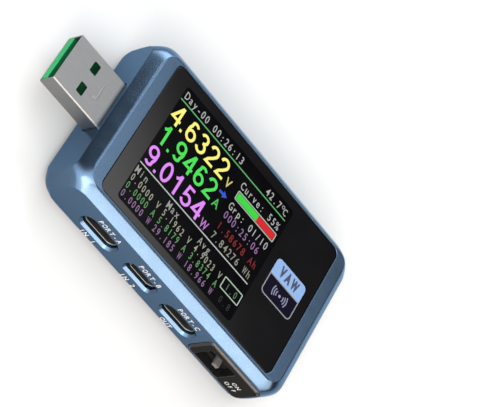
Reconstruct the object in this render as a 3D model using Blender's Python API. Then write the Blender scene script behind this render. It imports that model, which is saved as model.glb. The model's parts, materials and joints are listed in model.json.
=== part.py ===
"""USB power meter: a pocket instrument that passes USB power through and shows voltage, current and power.

The meter lies on its back with its screen up. +X runs from the USB plug to the far end, -Y is the side
with the input ports, +Y the side with the keys. The origin is the middle of the footprint, on the
surface that the meter lies on. Positions are given from the body's own corner, see at().
"""

import math

import bmesh
import bpy
from mathutils import Matrix, Vector

MM = 0.001

# Driving dimensions of the body.
BODY_LENGTH = 67.75 * MM
BODY_WIDTH = 39.5 * MM
BODY_HEIGHT = 14.0 * MM
PLUG_REACH = 13.75 * MM
WALL = 1.0 * MM
SEAM_Z = 2.1 * MM
GAP = 0.3 * MM
THIN_GAP = 0.15 * MM

# Chamfers of the body: how far each flat face stops short of the next one.
FRONT_INSET_SIDE = 1.9 * MM
FRONT_INSET_END = 2.4 * MM
FRONT_DROP = 1.9 * MM
BACK_INSET = 2.1 * MM
SIDE_INSET = 2.35 * MM
FACE_RADIUS = 2.6 * MM
PANEL_RADIUS = 2.0 * MM
CAVITY_RADIUS = 5.0 * MM

# Where the body's corner lies in the part's frame.
PLUG_WALL_X = -(BODY_LENGTH - PLUG_REACH) / 2
PORT_WALL_Y = -BODY_WIDTH / 2
MIDDLE = BODY_WIDTH / 2

# Levels above the back face.
COVER_FLOOR = 1.2 * MM
LIP_TOP = 2.9 * MM
BOARD_BOTTOM = 3.3 * MM
BOARD_TOP = 4.5 * MM
PART_SEAT = BOARD_TOP + GAP
CEILING = 11.4 * MM
LEDGE = 12.6 * MM
LENS_TOP = 13.9 * MM

# Window and display.
LENS_START = Vector((5.84, 2.68)) * MM
LENS_END = Vector((61.9, 36.88)) * MM
LENS_RADIUS = 1.6 * MM
PANEL_START = Vector((9.6, 3.4)) * MM
PANEL_END = Vector((48.9, 35.5)) * MM

# USB plug and socket.
PLUG_SIZE = Vector((12.0, 4.5)) * MM
PLUG_Z = 8.16 * MM
SHEET = 0.3 * MM
PLUG_INSIDE = 5.0 * MM
SOCKET_SIZE = Vector((13.1, 5.7)) * MM
SOCKET_DEPTH = 13.6 * MM
SOCKET_Z = PART_SEAT + SOCKET_SIZE.y / 2

# Side ports, each by its distance from the plug wall.
TYPE_C_IN_X = 15.4 * MM
MICRO_IN_X = 28.4 * MM
TYPE_C_OUT_X = 41.2 * MM
PC_PORT_X = 22.0 * MM
TYPE_C_SIZE = Vector((9.0, 3.2)) * MM
TYPE_C_Z = PART_SEAT + TYPE_C_SIZE.y / 2
TYPE_C_HOLE = Vector((10.4, 5.0)) * MM
MICRO_SIZE = Vector((7.5, 2.6)) * MM
MICRO_Z = 6.7 * MM
MICRO_HOLE = Vector((8.5, 4.2)) * MM
PORT_SETBACK = 1.05 * MM

# Black switch bezel and its slide switch.
BEZEL_START = Vector((48.0, 3.05)) * MM
BEZEL_END = Vector((64.9, 11.25)) * MM
BEZEL_PROUD = 0.4 * MM
BEZEL_BEVEL = 0.7 * MM
POCKET_START = Vector((50.2, 3.65)) * MM
POCKET_END = Vector((57.9, 9.5)) * MM
POCKET_DEPTH = 2.0 * MM
KNOB_X = 54.9 * MM
KNOB_WIDTH = 1.5 * MM
KNOB_TRAVEL = 2.0 * MM

# Keys on the far side: the thumb dial and the back button.
DIAL_X = 55.0 * MM
DIAL_RADIUS = 4.2 * MM
DIAL_PROUD = 0.8 * MM
DIAL_PRESS = 0.4 * MM
DIAL_Z = 6.6 * MM
BUTTON_X = 43.0 * MM
BUTTON_Z = 6.6 * MM
BUTTON_PROUD = 0.6 * MM
BUTTON_TRAVEL = 0.4 * MM

# Screws, by their distance from each end wall and from the middle line.
SCREW_FROM_END = 7.6 * MM
SCREW_OFF_MIDDLE = 11.0 * MM
PILLAR_RADIUS = 1.7 * MM
SCREW_HOLE_RADIUS = 1.1 * MM
SHANK_RADIUS = 0.8 * MM
HEAD_RADIUS = 2.0 * MM
COUNTERBORE_RADIUS = 2.3 * MM

ARC_STEPS = 4


def clear_scene():
    for thing in list(bpy.data.objects):
        bpy.data.objects.remove(thing)


def at(x, y, z):
    """A point from its distances to the plug wall, the port wall and the back face."""
    return Vector((PLUG_WALL_X + x, PORT_WALL_Y + y, z))


def material(name, colour, roughness, metallic=0.0):
    made = bpy.data.materials.new(name)
    made.use_nodes = True
    shader = made.node_tree.nodes["Principled BSDF"]
    shader.inputs["Base Color"].default_value = (*colour, 1.0)
    shader.inputs["Roughness"].default_value = roughness
    shader.inputs["Metallic"].default_value = metallic
    made.diffuse_color = (*colour, 1.0)
    return made


# Shapes


def rounded_rectangle(start, end, radius, steps=ARC_STEPS):
    """The outline between two corners, counter-clockwise, its corners turned as arcs."""
    centres = (
        (end.x - radius, end.y - radius, 0),
        (start.x + radius, end.y - radius, 90),
        (start.x + radius, start.y + radius, 180),
        (end.x - radius, start.y + radius, 270),
    )
    points = []
    for centre_x, centre_y, first in centres:
        for step in range(steps + 1):
            angle = math.radians(first + 90 * step / steps)
            points.append(Vector((centre_x + radius * math.cos(angle), centre_y + radius * math.sin(angle))))
    return points


def around(centre_x, centre_y, size):
    """The two corners of a rectangle of that size about a centre."""
    half = size / 2
    middle = Vector((centre_x, centre_y))
    return middle - half, middle + half


def circle(centre_x, centre_y, radius, count=20):
    turn = 2 * math.pi / count
    return [
        Vector((centre_x + radius * math.cos(turn * i), centre_y + radius * math.sin(turn * i)))
        for i in range(count)
    ]


def in_plane(axis, level, point):
    """A point of an outline, put on the plane that faces the given axis."""
    if axis == "X":
        return at(level, point.x, point.y)
    if axis == "Y":
        return at(point.x, level, point.y)
    return at(point.x, point.y, level)


def finish(name, bm, finish_material):
    """Turns a bmesh into a named object with outward normals, smooth but for its real edges."""
    bmesh.ops.recalc_face_normals(bm, faces=bm.faces)
    mesh = bpy.data.meshes.new(name)
    bm.to_mesh(mesh)
    bm.free()
    mesh.shade_smooth()
    mesh.set_sharp_from_angle(angle=math.radians(30))
    made = bpy.data.objects.new(name, mesh)
    bpy.context.scene.collection.objects.link(made)
    if finish_material:
        mesh.materials.append(finish_material)
    return made


def loft(name, axis, sections, finish_material=None):
    """A closed body through (level, outline) sections along an axis, all with as many points."""
    bm = bmesh.new()
    rings = [
        [bm.verts.new(in_plane(axis, level, point)) for point in outline] for level, outline in sections
    ]
    for lower, upper in zip(rings, rings[1:]):
        count = len(lower)
        for i in range(count):
            after = (i + 1) % count
            bm.faces.new((lower[i], lower[after], upper[after], upper[i]))
    bm.faces.new(list(reversed(rings[0])))
    bm.faces.new(rings[-1])
    return finish(name, bm, finish_material)


def prism(name, axis, outline, start, end, finish_material=None):
    return loft(name, axis, ((start, outline), (end, outline)), finish_material)


def block(name, low, high, finish_material=None):
    """A plain box between two corners, each as distances from the body's corner."""
    outline = [Vector((low[0], low[1])), Vector((high[0], low[1]))]
    outline += [Vector((high[0], high[1])), Vector((low[0], high[1]))]
    return prism(name, "Z", outline, low[2], high[2], finish_material)


def hull(name, points, finish_material=None):
    """The convex body around a set of points, its flat faces made whole."""
    bm = bmesh.new()
    for point in points:
        bm.verts.new(point)
    made = bmesh.ops.convex_hull(bm, input=bm.verts)
    inside = {item for item in made["geom_interior"] if isinstance(item, bmesh.types.BMVert)}
    bmesh.ops.delete(bm, geom=list(inside), context="VERTS")
    bmesh.ops.dissolve_limit(bm, angle_limit=math.radians(0.5), verts=bm.verts, edges=bm.edges)
    return finish(name, bm, finish_material)


def combine(target, tool, operation):
    """Applies one exact Boolean to the target and removes the tool."""
    modifier = target.modifiers.new(operation.lower(), "BOOLEAN")
    modifier.operation = operation
    modifier.solver = "EXACT"
    modifier.object = tool
    graph = bpy.context.evaluated_depsgraph_get()
    result = bpy.data.meshes.new_from_object(target.evaluated_get(graph))
    target.modifiers.clear()
    before = target.data
    target.data = result
    bpy.data.meshes.remove(before)
    result.name = target.name
    bpy.data.objects.remove(tool)


def carve(target, *tools):
    for tool in tools:
        combine(target, tool, "DIFFERENCE")


def fuse(target, *tools):
    for tool in tools:
        combine(target, tool, "UNION")


def cut_level(target, level, keep_above):
    """Cuts a convex body along a level plane and closes the cut."""
    bm = bmesh.new()
    bm.from_mesh(target.data)
    cut = bmesh.ops.bisect_plane(
        bm,
        geom=bm.verts[:] + bm.edges[:] + bm.faces[:],
        plane_co=(0, 0, level),
        plane_no=(0, 0, 1),
        clear_inner=keep_above,
        clear_outer=not keep_above,
    )
    rim = [item for item in cut["geom_cut"] if isinstance(item, bmesh.types.BMEdge)]
    bmesh.ops.contextual_create(bm, geom=rim)
    bmesh.ops.recalc_face_normals(bm, faces=bm.faces)
    bm.to_mesh(target.data)
    bm.free()


# Body


def body_hull(name, finish_material):
    """The outer shape: six flat faces with round corners, and the chamfers that join them."""
    length, width, height = BODY_LENGTH, BODY_WIDTH, BODY_HEIGHT
    panel_low, panel_high = SEAM_Z, height - FRONT_DROP
    front = rounded_rectangle(
        Vector((FRONT_INSET_END, FRONT_INSET_SIDE)),
        Vector((length - FRONT_INSET_END, width - FRONT_INSET_SIDE)),
        FACE_RADIUS,
    )
    back = rounded_rectangle(
        Vector((BACK_INSET, BACK_INSET)), Vector((length - BACK_INSET, width - BACK_INSET)), FACE_RADIUS
    )
    side = rounded_rectangle(
        Vector((SIDE_INSET, panel_low)), Vector((length - SIDE_INSET, panel_high)), PANEL_RADIUS
    )
    end = rounded_rectangle(
        Vector((SIDE_INSET, panel_low)), Vector((width - SIDE_INSET, panel_high)), PANEL_RADIUS
    )
    points = [in_plane("Z", height, point) for point in front]
    points += [in_plane("Z", 0.0, point) for point in back]
    for level in (0.0, width):
        points += [in_plane("Y", level, point) for point in side]
    for level in (0.0, length):
        points += [in_plane("X", level, point) for point in end]
    return hull(name, points, finish_material)


def screw_centres():
    for x in (SCREW_FROM_END, BODY_LENGTH - SCREW_FROM_END):
        for y in (MIDDLE - SCREW_OFF_MIDDLE, MIDDLE + SCREW_OFF_MIDDLE):
            yield x, y


def inner_outline(inset):
    """An outline inside the body, at the same distance from the cavity's wall all round."""
    start = Vector((inset, inset))
    end = Vector((BODY_LENGTH - inset, BODY_WIDTH - inset))
    return rounded_rectangle(start, end, CAVITY_RADIUS + WALL - inset)


def side_hole(level_start, level_end, centre_x, centre_z, size, radius):
    """A cutter for a port through one of the long walls."""
    start, end = around(centre_x, centre_z, size)
    return prism("hole", "Y", rounded_rectangle(start, end, radius), level_start, level_end)


def front_case(finish_material):
    """The deep front shell: face, side walls, window recess, port holes and screw pillars."""
    beyond = 1.0 * MM
    case = body_hull("front_case", finish_material)
    cut_level(case, SEAM_Z + THIN_GAP, keep_above=True)
    carve(case, prism("cavity", "Z", inner_outline(WALL), 0.0, CEILING))
    slack = Vector((0.2, 0.2)) * MM
    recess = rounded_rectangle(LENS_START - slack, LENS_END + slack, LENS_RADIUS + slack.x)
    carve(case, prism("recess", "Z", recess, LEDGE, BODY_HEIGHT + beyond))
    opening_slack = Vector((GAP, GAP))
    opening = rounded_rectangle(PANEL_START - opening_slack, PANEL_END + opening_slack, 1.0 * MM)
    carve(case, prism("opening", "Z", opening, CEILING - beyond, BODY_HEIGHT))
    pillar_top = CEILING + 0.2 * MM
    for x, y in screw_centres():
        fuse(case, prism("pillar", "Z", circle(x, y, PILLAR_RADIUS, 16), LIP_TOP + GAP, pillar_top))
    for x, y in screw_centres():
        carve(case, prism("bore", "Z", circle(x, y, SCREW_HOLE_RADIUS, 12), 0.0, 9.0 * MM))
    cut_port_side(case, beyond)
    cut_key_side(case, beyond)
    cut_ends(case, beyond)
    return case


def cut_port_side(case, beyond):
    inward = WALL + beyond
    for x in (TYPE_C_IN_X, TYPE_C_OUT_X):
        carve(case, side_hole(-beyond, inward, x, TYPE_C_Z, TYPE_C_HOLE, 1.8 * MM))
    carve(case, side_hole(-beyond, inward, MICRO_IN_X, MICRO_Z, MICRO_HOLE, 1.5 * MM))
    slack = Vector((0.15, 0.15)) * MM
    seat = rounded_rectangle(BEZEL_START - slack, BEZEL_END + slack, 1.6 * MM)
    carve(case, prism("bezel_seat", "Y", seat, -beyond, POCKET_DEPTH + 0.7 * MM))


def cut_key_side(case, beyond):
    near, far = BODY_WIDTH - WALL - beyond, BODY_WIDTH + beyond
    dial_hole = Vector((7.6, 3.0)) * MM
    button_hole = Vector((5.8, 3.2)) * MM
    carve(case, side_hole(near, far, DIAL_X, DIAL_Z, dial_hole, 1.0 * MM))
    carve(case, side_hole(near, far, BUTTON_X, BUTTON_Z, button_hole, 1.5 * MM))
    carve(case, side_hole(near, far, PC_PORT_X, MICRO_Z, MICRO_HOLE, 1.5 * MM))


def cut_ends(case, beyond):
    plug_slack = Vector((0.6, 0.6)) * MM
    start, end = around(MIDDLE, PLUG_Z, PLUG_SIZE + plug_slack)
    carve(case, prism("plug_hole", "X", rounded_rectangle(start, end, 0.8 * MM), -beyond, WALL + beyond))
    start, end = around(MIDDLE, SOCKET_Z, SOCKET_SIZE + plug_slack)
    outline = rounded_rectangle(start, end, 0.8 * MM)
    far = BODY_LENGTH + beyond
    carve(case, prism("socket_hole", "X", outline, BODY_LENGTH - WALL - beyond, far))


LABEL_START = Vector((12.0, MIDDLE / MM - 11.7)) * MM
LABEL_END = Vector((41.0, MIDDLE / MM + 11.7)) * MM
LABEL_RADIUS = 2.5 * MM
LABEL_RECESS = 0.5 * MM


def rear_cover(finish_material):
    """The shallow back cover with its locating lip, screw bosses and label recess."""
    lip_inset, pocket_inset = WALL + GAP, 2.3 * MM
    cover = body_hull("rear_cover", finish_material)
    cut_level(cover, SEAM_Z - THIN_GAP, keep_above=False)
    lip_root = 1.5 * MM
    fuse(cover, prism("lip", "Z", inner_outline(lip_inset), lip_root, LIP_TOP))
    carve(cover, prism("pocket", "Z", inner_outline(pocket_inset), COVER_FLOOR, BODY_HEIGHT))
    boss_radius = 2.9 * MM
    for x, y in screw_centres():
        fuse(cover, prism("boss", "Z", circle(x, y, boss_radius, 20), COVER_FLOOR / 2, LIP_TOP))
    for x, y in screw_centres():
        carve(cover, prism("bore", "Z", circle(x, y, SCREW_HOLE_RADIUS, 12), -MM, BODY_HEIGHT))
        carve(cover, prism("sink", "Z", circle(x, y, COUNTERBORE_RADIUS, 20), -MM, 1.3 * MM))
    recess = rounded_rectangle(LABEL_START, LABEL_END, LABEL_RADIUS)
    carve(cover, prism("label_recess", "Z", recess, -MM, LABEL_RECESS))
    notch_start, notch_end = BEZEL_START.x - 0.6 * MM, BEZEL_END.x + 0.6 * MM
    lip_notch = block("lip_notch", (notch_start, 0.0, SEAM_Z), (notch_end, 3.2 * MM, BODY_HEIGHT))
    carve(cover, lip_notch)
    return cover


def rear_label(finish_material):
    slack = Vector((THIN_GAP, THIN_GAP))
    outline = rounded_rectangle(LABEL_START + slack, LABEL_END - slack, LABEL_RADIUS - THIN_GAP)
    return prism("rear_label", "Z", outline, 0.05 * MM, LABEL_RECESS - THIN_GAP, finish_material)


def case_screws(finish_material):
    """Four cross-head screws that hold the cover to the case's pillars."""
    head_low, head_high, tip = 0.15 * MM, 1.0 * MM, 7.6 * MM
    head_edge, point = 0.25 * MM, 0.5 * MM
    slot_depth, slot_half_width, slot_half_length = 0.5 * MM, 0.28 * MM, 1.15 * MM
    for number, (x, y) in enumerate(screw_centres(), start=1):
        head, shank = circle(x, y, HEAD_RADIUS), circle(x, y, SHANK_RADIUS)
        sections = (
            (head_low, circle(x, y, HEAD_RADIUS - head_edge)),
            (head_low + head_edge, head),
            (head_high, head),
            (head_high, shank),
            (tip - point, shank),
            (tip, circle(x, y, SHANK_RADIUS / 2)),
        )
        screw = loft(f"case_screw_{number}", "Z", sections, finish_material)
        for half_x, half_y in ((slot_half_length, slot_half_width), (slot_half_width, slot_half_length)):
            low = (x - half_x, y - half_y, -MM)
            high = (x + half_x, y + half_y, head_low + slot_depth)
            carve(screw, block("slot", low, high))


# Window and display


def window_lens(finish_material):
    outline = rounded_rectangle(LENS_START, LENS_END, LENS_RADIUS)
    return prism("window_lens", "Z", outline, LEDGE + GAP, LENS_TOP, finish_material)


def display_panel(finish_material):
    outline = rounded_rectangle(PANEL_START, PANEL_END, 0.6 * MM)
    return prism("display_panel", "Z", outline, CEILING + 0.1 * MM, LEDGE - 0.2 * MM, finish_material)


def display_backlight(finish_material):
    inset = Vector((0.4, 0.3)) * MM
    outline = rounded_rectangle(PANEL_START + inset, PANEL_END - inset, 0.6 * MM)
    return prism("display_backlight", "Z", outline, 9.9 * MM, CEILING - 0.2 * MM, finish_material)


RIBBON_HALF_WIDTH = 6.5 * MM
RIBBON_THICKNESS = 0.25 * MM
RIBBON_CONNECTOR_X = 45.0 * MM


def display_ribbon(finish_material):
    """The flat flex cable: out of the backlight's edge, round a half turn and back to the board."""
    top, bottom = 10.6 * MM, 5.4 * MM
    centre_x, radius = 48.9 * MM, (top - bottom) / 2
    centre_z = (top + bottom) / 2
    steps = 10
    outer, inner = [], []
    for step in range(steps + 1):
        angle = math.radians(90 - 180 * step / steps)
        direction = Vector((math.cos(angle), math.sin(angle)))
        middle = Vector((centre_x, centre_z))
        outer.append(middle + direction * radius)
        inner.append(middle + direction * (radius - RIBBON_THICKNESS))
    tail_x = RIBBON_CONNECTOR_X + 2.4 * MM
    tail = [Vector((tail_x, bottom)), Vector((tail_x, bottom + RIBBON_THICKNESS))]
    outline = outer + tail + list(reversed(inner))
    start, end = MIDDLE - RIBBON_HALF_WIDTH, MIDDLE + RIBBON_HALF_WIDTH
    return prism("display_ribbon", "Y", outline, start, end, finish_material)


def display_connector(finish_material):
    low = (RIBBON_CONNECTOR_X - 1.0 * MM, MIDDLE - 7.5 * MM, PART_SEAT)
    high = (RIBBON_CONNECTOR_X + 2.1 * MM, MIDDLE + 7.5 * MM, PART_SEAT + 1.3 * MM)
    return block("display_connector", low, high, finish_material)


# Main board and what is soldered to it


def main_board(finish_material):
    outline = inner_outline(WALL + 0.5 * MM)
    board = prism("main_board", "Z", outline, BOARD_BOTTOM, BOARD_TOP, finish_material)
    notch_low = (BEZEL_START.x - 0.6 * MM, 0.0, 0.0)
    notch_high = (BEZEL_END.x + 0.6 * MM, POCKET_DEPTH + 0.6 * MM, BODY_HEIGHT)
    carve(board, block("notch", notch_low, notch_high))
    for x, y in screw_centres():
        hole = circle(x, y, PILLAR_RADIUS + GAP, 16)
        carve(board, prism("hole", "Z", hole, 0.0, BODY_HEIGHT))
    return board


def chips(finish_material):
    """Chips on the front of the board: name, middle and size."""
    layout = (
        ("controller_chip", (25.0, 17.5), (7.0, 7.0, 0.9)),
        ("metering_chip", (15.5, 25.5), (4.0, 4.0, 0.8)),
        ("protocol_chip", (33.5, 14.5), (4.0, 4.0, 0.8)),
        ("memory_chip", (33.0, 21.5), (5.0, 4.0, 1.2)),
    )
    for name, (x, y), (length, width, height) in layout:
        low = ((x - length / 2) * MM, (y - width / 2) * MM, PART_SEAT)
        high = ((x + length / 2) * MM, (y + width / 2) * MM, PART_SEAT + height * MM)
        block(name, low, high, finish_material)


def current_shunt(finish_material):
    """A bridge of resistance alloy between two solder feet, in the main current path."""
    low, high, foot, thickness = PART_SEAT, PART_SEAT + 1.2 * MM, 1.6 * MM, 0.5 * MM
    start, end = 10.5 * MM, 19.0 * MM
    outline = [
        Vector((start, low)),
        Vector((start + foot, low)),
        Vector((start + foot, high - thickness)),
        Vector((end - foot, high - thickness)),
        Vector((end - foot, low)),
        Vector((end, low)),
        Vector((end, high)),
        Vector((start, high)),
    ]
    return prism("current_shunt", "Y", outline, 14.0 * MM, 18.0 * MM, finish_material)


def small_parts(capacitor_material, crystal_material, coil_material):
    """The larger capacitors, the crystal's can and the supply coil."""
    size, height = Vector((3.2, 1.6)) * MM, 1.6 * MM
    for number, (x, y) in enumerate(((21.0, 27.5), (26.5, 27.5), (32.0, 27.5)), start=1):
        start, end = around(x * MM, y * MM, size)
        outline = rounded_rectangle(start, end, 0.2 * MM, 1)
        prism(f"capacitor_{number}", "Z", outline, PART_SEAT, PART_SEAT + height, capacitor_material)
    start, end = around(25.0 * MM, 23.2 * MM, Vector((3.2, 2.0)) * MM)
    can = rounded_rectangle(start, end, 0.4 * MM)
    prism("crystal", "Z", can, PART_SEAT, PART_SEAT + 0.7 * MM, crystal_material)
    start, end = around(38.5 * MM, 22.0 * MM, Vector((4.4, 4.4)) * MM)
    coil = rounded_rectangle(start, end, 0.9 * MM)
    prism("supply_coil", "Z", coil, PART_SEAT, PART_SEAT + 2.0 * MM, coil_material)


def radio_module(board_material, shield_material):
    """The wireless module on the back of the board and the shield can on it."""
    top = BOARD_BOTTOM - 0.2 * MM
    bottom = top - 0.4 * MM
    x, y = 33.0 * MM, 11.0 * MM
    block("radio_module", (x, y, bottom), (x + 13.0 * MM, y + 10.0 * MM, top), board_material)
    shield_low = (x + 0.6 * MM, y + 0.6 * MM, COVER_FLOOR + 0.2 * MM)
    shield_high = (x + 9.0 * MM, y + 9.4 * MM, bottom - 0.1 * MM)
    block("radio_shield", shield_low, shield_high, shield_material)


# USB plug and socket


def tube_section(centre_z, size, radius, inset=0.0):
    start, end = around(MIDDLE, centre_z, size - Vector((2 * inset, 2 * inset)))
    return rounded_rectangle(start, end, max(radius - inset, 0.1 * MM), 3)


def usb_plug_shell(finish_material):
    """The plug's folded sheet tube, with two latch windows in each broad face and solder legs."""
    tip, tail = -PLUG_REACH + 0.1 * MM, PLUG_INSIDE
    radius = 0.5 * MM
    shell = prism("usb_plug_shell", "X", tube_section(PLUG_Z, PLUG_SIZE, radius), tip, tail, finish_material)
    leg_bottom = PART_SEAT
    for y in (MIDDLE - PLUG_SIZE.x / 2, MIDDLE + PLUG_SIZE.x / 2 - SHEET):
        fuse(shell, block("leg", (2.0 * MM, y, leg_bottom), (4.0 * MM, y + SHEET, PLUG_Z)))
    inner = tube_section(PLUG_Z, PLUG_SIZE, radius, SHEET)
    carve(shell, prism("inside", "X", inner, tip - MM, tail + MM))
    window_x, window_off, window = -7.4 * MM, 2.8 * MM, Vector((1.75, 2.55)) * MM
    for side in (-1, 1):
        start, end = around(window_x, MIDDLE + side * window_off, window)
        low, high = (start.x, start.y, 0.0), (end.x, end.y, BODY_HEIGHT)
        carve(shell, block("window", low, high))
    return shell


TONGUE_HEIGHT = 1.75 * MM


def usb_plug_tongue(finish_material):
    """The plug's insulator: a tongue along the rear sheet, thick where it leaves the shell inside."""
    half_width = PLUG_SIZE.x / 2 - SHEET - THIN_GAP
    low = PLUG_Z - PLUG_SIZE.y / 2 + SHEET + THIN_GAP
    base_top = PLUG_Z + PLUG_SIZE.y / 2 - SHEET - THIN_GAP
    tip, base, tail = -PLUG_REACH - 0.05 * MM, 0.5 * MM, PLUG_INSIDE - 0.4 * MM
    top = low + TONGUE_HEIGHT
    start = MIDDLE - half_width
    end = MIDDLE + half_width
    outline = [Vector((tip, low)), Vector((tail, low)), Vector((tail, base_top)), Vector((base, base_top))]
    outline += [Vector((base, top)), Vector((tip, top))]
    return prism("usb_plug_tongue", "Y", outline, start, end, finish_material)


def contact_strips(name, inner, outer, low, finish_material):
    """Four contact strips, the two outer ones reaching nearer to the mouth."""
    half_width, thickness, lead = 0.5 * MM, 0.15 * MM, 1.0 * MM
    toward_mouth = math.copysign(1.0, outer - inner)
    for number, offset in enumerate((-3.5, -1.0, 1.0, 3.5), start=1):
        y = MIDDLE + offset * MM
        reach = outer + toward_mouth * lead if abs(offset) > 2 else outer
        start, end = sorted((inner, reach))
        low_corner = (start, y - half_width, low)
        high_corner = (end, y + half_width, low + thickness)
        block(f"{name}_{number}", low_corner, high_corner, finish_material)


def usb_plug_contacts(finish_material):
    low = PLUG_Z - PLUG_SIZE.y / 2 + SHEET + THIN_GAP + TONGUE_HEIGHT + 0.1 * MM
    contact_strips("usb_plug_contact", 0.2 * MM, -11.6 * MM, low, finish_material)


def usb_socket_shell(finish_material):
    """The socket's sheet box, open at the far end of the meter."""
    mouth = BODY_LENGTH - 0.3 * MM
    back = mouth - SOCKET_DEPTH
    radius = 0.5 * MM
    outline = tube_section(SOCKET_Z, SOCKET_SIZE, radius)
    shell = prism("usb_socket_shell", "X", outline, back, mouth, finish_material)
    inner = tube_section(SOCKET_Z, SOCKET_SIZE, radius, SHEET)
    carve(shell, prism("inside", "X", inner, back + SHEET, mouth + MM))
    return shell


SOCKET_TONGUE_LOW = 7.9 * MM
SOCKET_TONGUE_HEIGHT = 1.6 * MM


def usb_socket_tongue(finish_material):
    """The socket's insulator: a back block with the tongue that goes into a plug."""
    half_width = SOCKET_SIZE.x / 2 - SHEET - THIN_GAP
    back = BODY_LENGTH - 0.3 * MM - SOCKET_DEPTH + SHEET + THIN_GAP
    step, tip = back + 3.0 * MM, BODY_LENGTH - 1.9 * MM
    low = SOCKET_Z - SOCKET_SIZE.y / 2 + SHEET + THIN_GAP
    high = SOCKET_Z + SOCKET_SIZE.y / 2 - SHEET - THIN_GAP
    base_low, base_high = (back, MIDDLE - half_width, low), (step, MIDDLE + half_width, high)
    insulator = block("usb_socket_tongue", base_low, base_high, finish_material)
    tongue_half = 5.4 * MM
    tongue_low = (step - MM, MIDDLE - tongue_half, SOCKET_TONGUE_LOW)
    tongue_high = (tip, MIDDLE + tongue_half, SOCKET_TONGUE_LOW + SOCKET_TONGUE_HEIGHT)
    fuse(insulator, block("tongue", tongue_low, tongue_high))
    return insulator


def usb_socket_contacts(finish_material):
    low = SOCKET_TONGUE_LOW - 0.3 * MM
    inner = BODY_LENGTH - SOCKET_DEPTH + 3.6 * MM
    outer = BODY_LENGTH - 3.4 * MM
    contact_strips("usb_socket_contact", inner, outer, low, finish_material)


# Side ports


def port_levels(from_key_side, depth):
    """The mouth and the back of a port, measured across the body, and the direction inward."""
    if from_key_side:
        mouth = BODY_WIDTH - PORT_SETBACK
        return mouth, mouth - depth, -1
    return PORT_SETBACK, PORT_SETBACK + depth, 1


def type_c_port(name, x, shell_material, tongue_material):
    """A Type-C receptacle: a sheet tube of stadium section and its insulator with the thin tongue."""
    depth = 7.3 * MM
    mouth, back, inward = port_levels(False, depth)
    start, end = around(x, TYPE_C_Z, TYPE_C_SIZE)
    shell = prism(
        name + "_shell", "Y", rounded_rectangle(start, end, 1.55 * MM, 5), mouth, back, shell_material
    )
    sheet = Vector((SHEET, SHEET))
    hollow = rounded_rectangle(start + sheet, end - sheet, 1.25 * MM, 5)
    carve(shell, prism("inside", "Y", hollow, mouth - inward * MM, back - inward * SHEET))
    fit = Vector((SHEET + THIN_GAP, SHEET + THIN_GAP))
    base = rounded_rectangle(start + fit, end - fit, 1.1 * MM, 5)
    base_front = back - inward * 2.4 * MM
    insulator = prism(
        name + "_tongue", "Y", base, base_front, back - inward * (SHEET + THIN_GAP), tongue_material
    )
    tongue_start, tongue_end = around(x, TYPE_C_Z, Vector((6.7, 0.7)) * MM)
    tongue = rounded_rectangle(tongue_start, tongue_end, 0.2 * MM, 2)
    fuse(insulator, prism("tongue", "Y", tongue, mouth + inward * 0.7 * MM, base_front + inward * MM))
    return shell, insulator


def micro_outline(x, inset):
    """The micro-USB section: straight on the wide side, with cut corners on the narrow one."""
    half, half_height = MICRO_SIZE.x / 2 - inset, MICRO_SIZE.y / 2 - inset
    low, high = MICRO_Z - half_height, MICRO_Z + half_height
    cut = 0.9 * MM
    corner = 0.3 * MM
    return [
        Vector((x - half + cut, low)),
        Vector((x + half - cut, low)),
        Vector((x + half, low + cut)),
        Vector((x + half, high - corner)),
        Vector((x + half - corner, high)),
        Vector((x - half + corner, high)),
        Vector((x - half, high - corner)),
        Vector((x - half, low + cut)),
    ]


def micro_port(name, x, from_key_side, shell_material, tongue_material):
    """A micro-USB receptacle: its sheet tube and the insulator with its tongue."""
    mouth, back, inward = port_levels(from_key_side, 5.4 * MM)
    shell = prism(name + "_shell", "Y", micro_outline(x, 0.0), mouth, back, shell_material)
    carve(shell, prism("inside", "Y", micro_outline(x, SHEET), mouth - inward * MM, back - inward * SHEET))
    base_front = back - inward * 2.0 * MM
    base_back = back - inward * (SHEET + THIN_GAP)
    base = micro_outline(x, SHEET + THIN_GAP)
    insulator = prism(name + "_tongue", "Y", base, base_front, base_back, tongue_material)
    low, high = MICRO_Z + 0.15 * MM, MICRO_Z + 0.75 * MM
    half = 2.4 * MM
    levels = sorted((mouth + inward * 0.7 * MM, base_front + inward * MM))
    fuse(insulator, block("tongue", (x - half, levels[0], low), (x + half, levels[1], high)))
    return shell, insulator


# Slide switch


def switch_bezel(finish_material):
    """The black insert: a bevelled face that stands proud of the wall, with a pocket for the knob."""
    radius = 1.45 * MM
    bevel = Vector((BEZEL_BEVEL, BEZEL_BEVEL))
    rim = rounded_rectangle(BEZEL_START, BEZEL_END, radius)
    face = rounded_rectangle(BEZEL_START + bevel, BEZEL_END - bevel, radius - BEZEL_BEVEL)
    back = POCKET_DEPTH + 0.3 * MM
    bezel = loft("switch_bezel", "Y", ((-BEZEL_PROUD, face), (0.0, rim), (back, rim)), finish_material)
    pocket = rounded_rectangle(POCKET_START, POCKET_END, 0.3 * MM, 2)
    carve(bezel, prism("pocket", "Y", pocket, -MM, POCKET_DEPTH))
    slot_low = (KNOB_X - KNOB_WIDTH / 2 - KNOB_TRAVEL - GAP, 0.0, SWITCH_LOW)
    slot_high = (KNOB_X + KNOB_WIDTH / 2 + GAP, back + MM, SWITCH_LOW + 1.9 * MM)
    carve(bezel, block("slot", slot_low, slot_high))
    return bezel


SWITCH_LOW = PART_SEAT
SWITCH_FRONT = POCKET_DEPTH + 0.6 * MM


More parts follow.
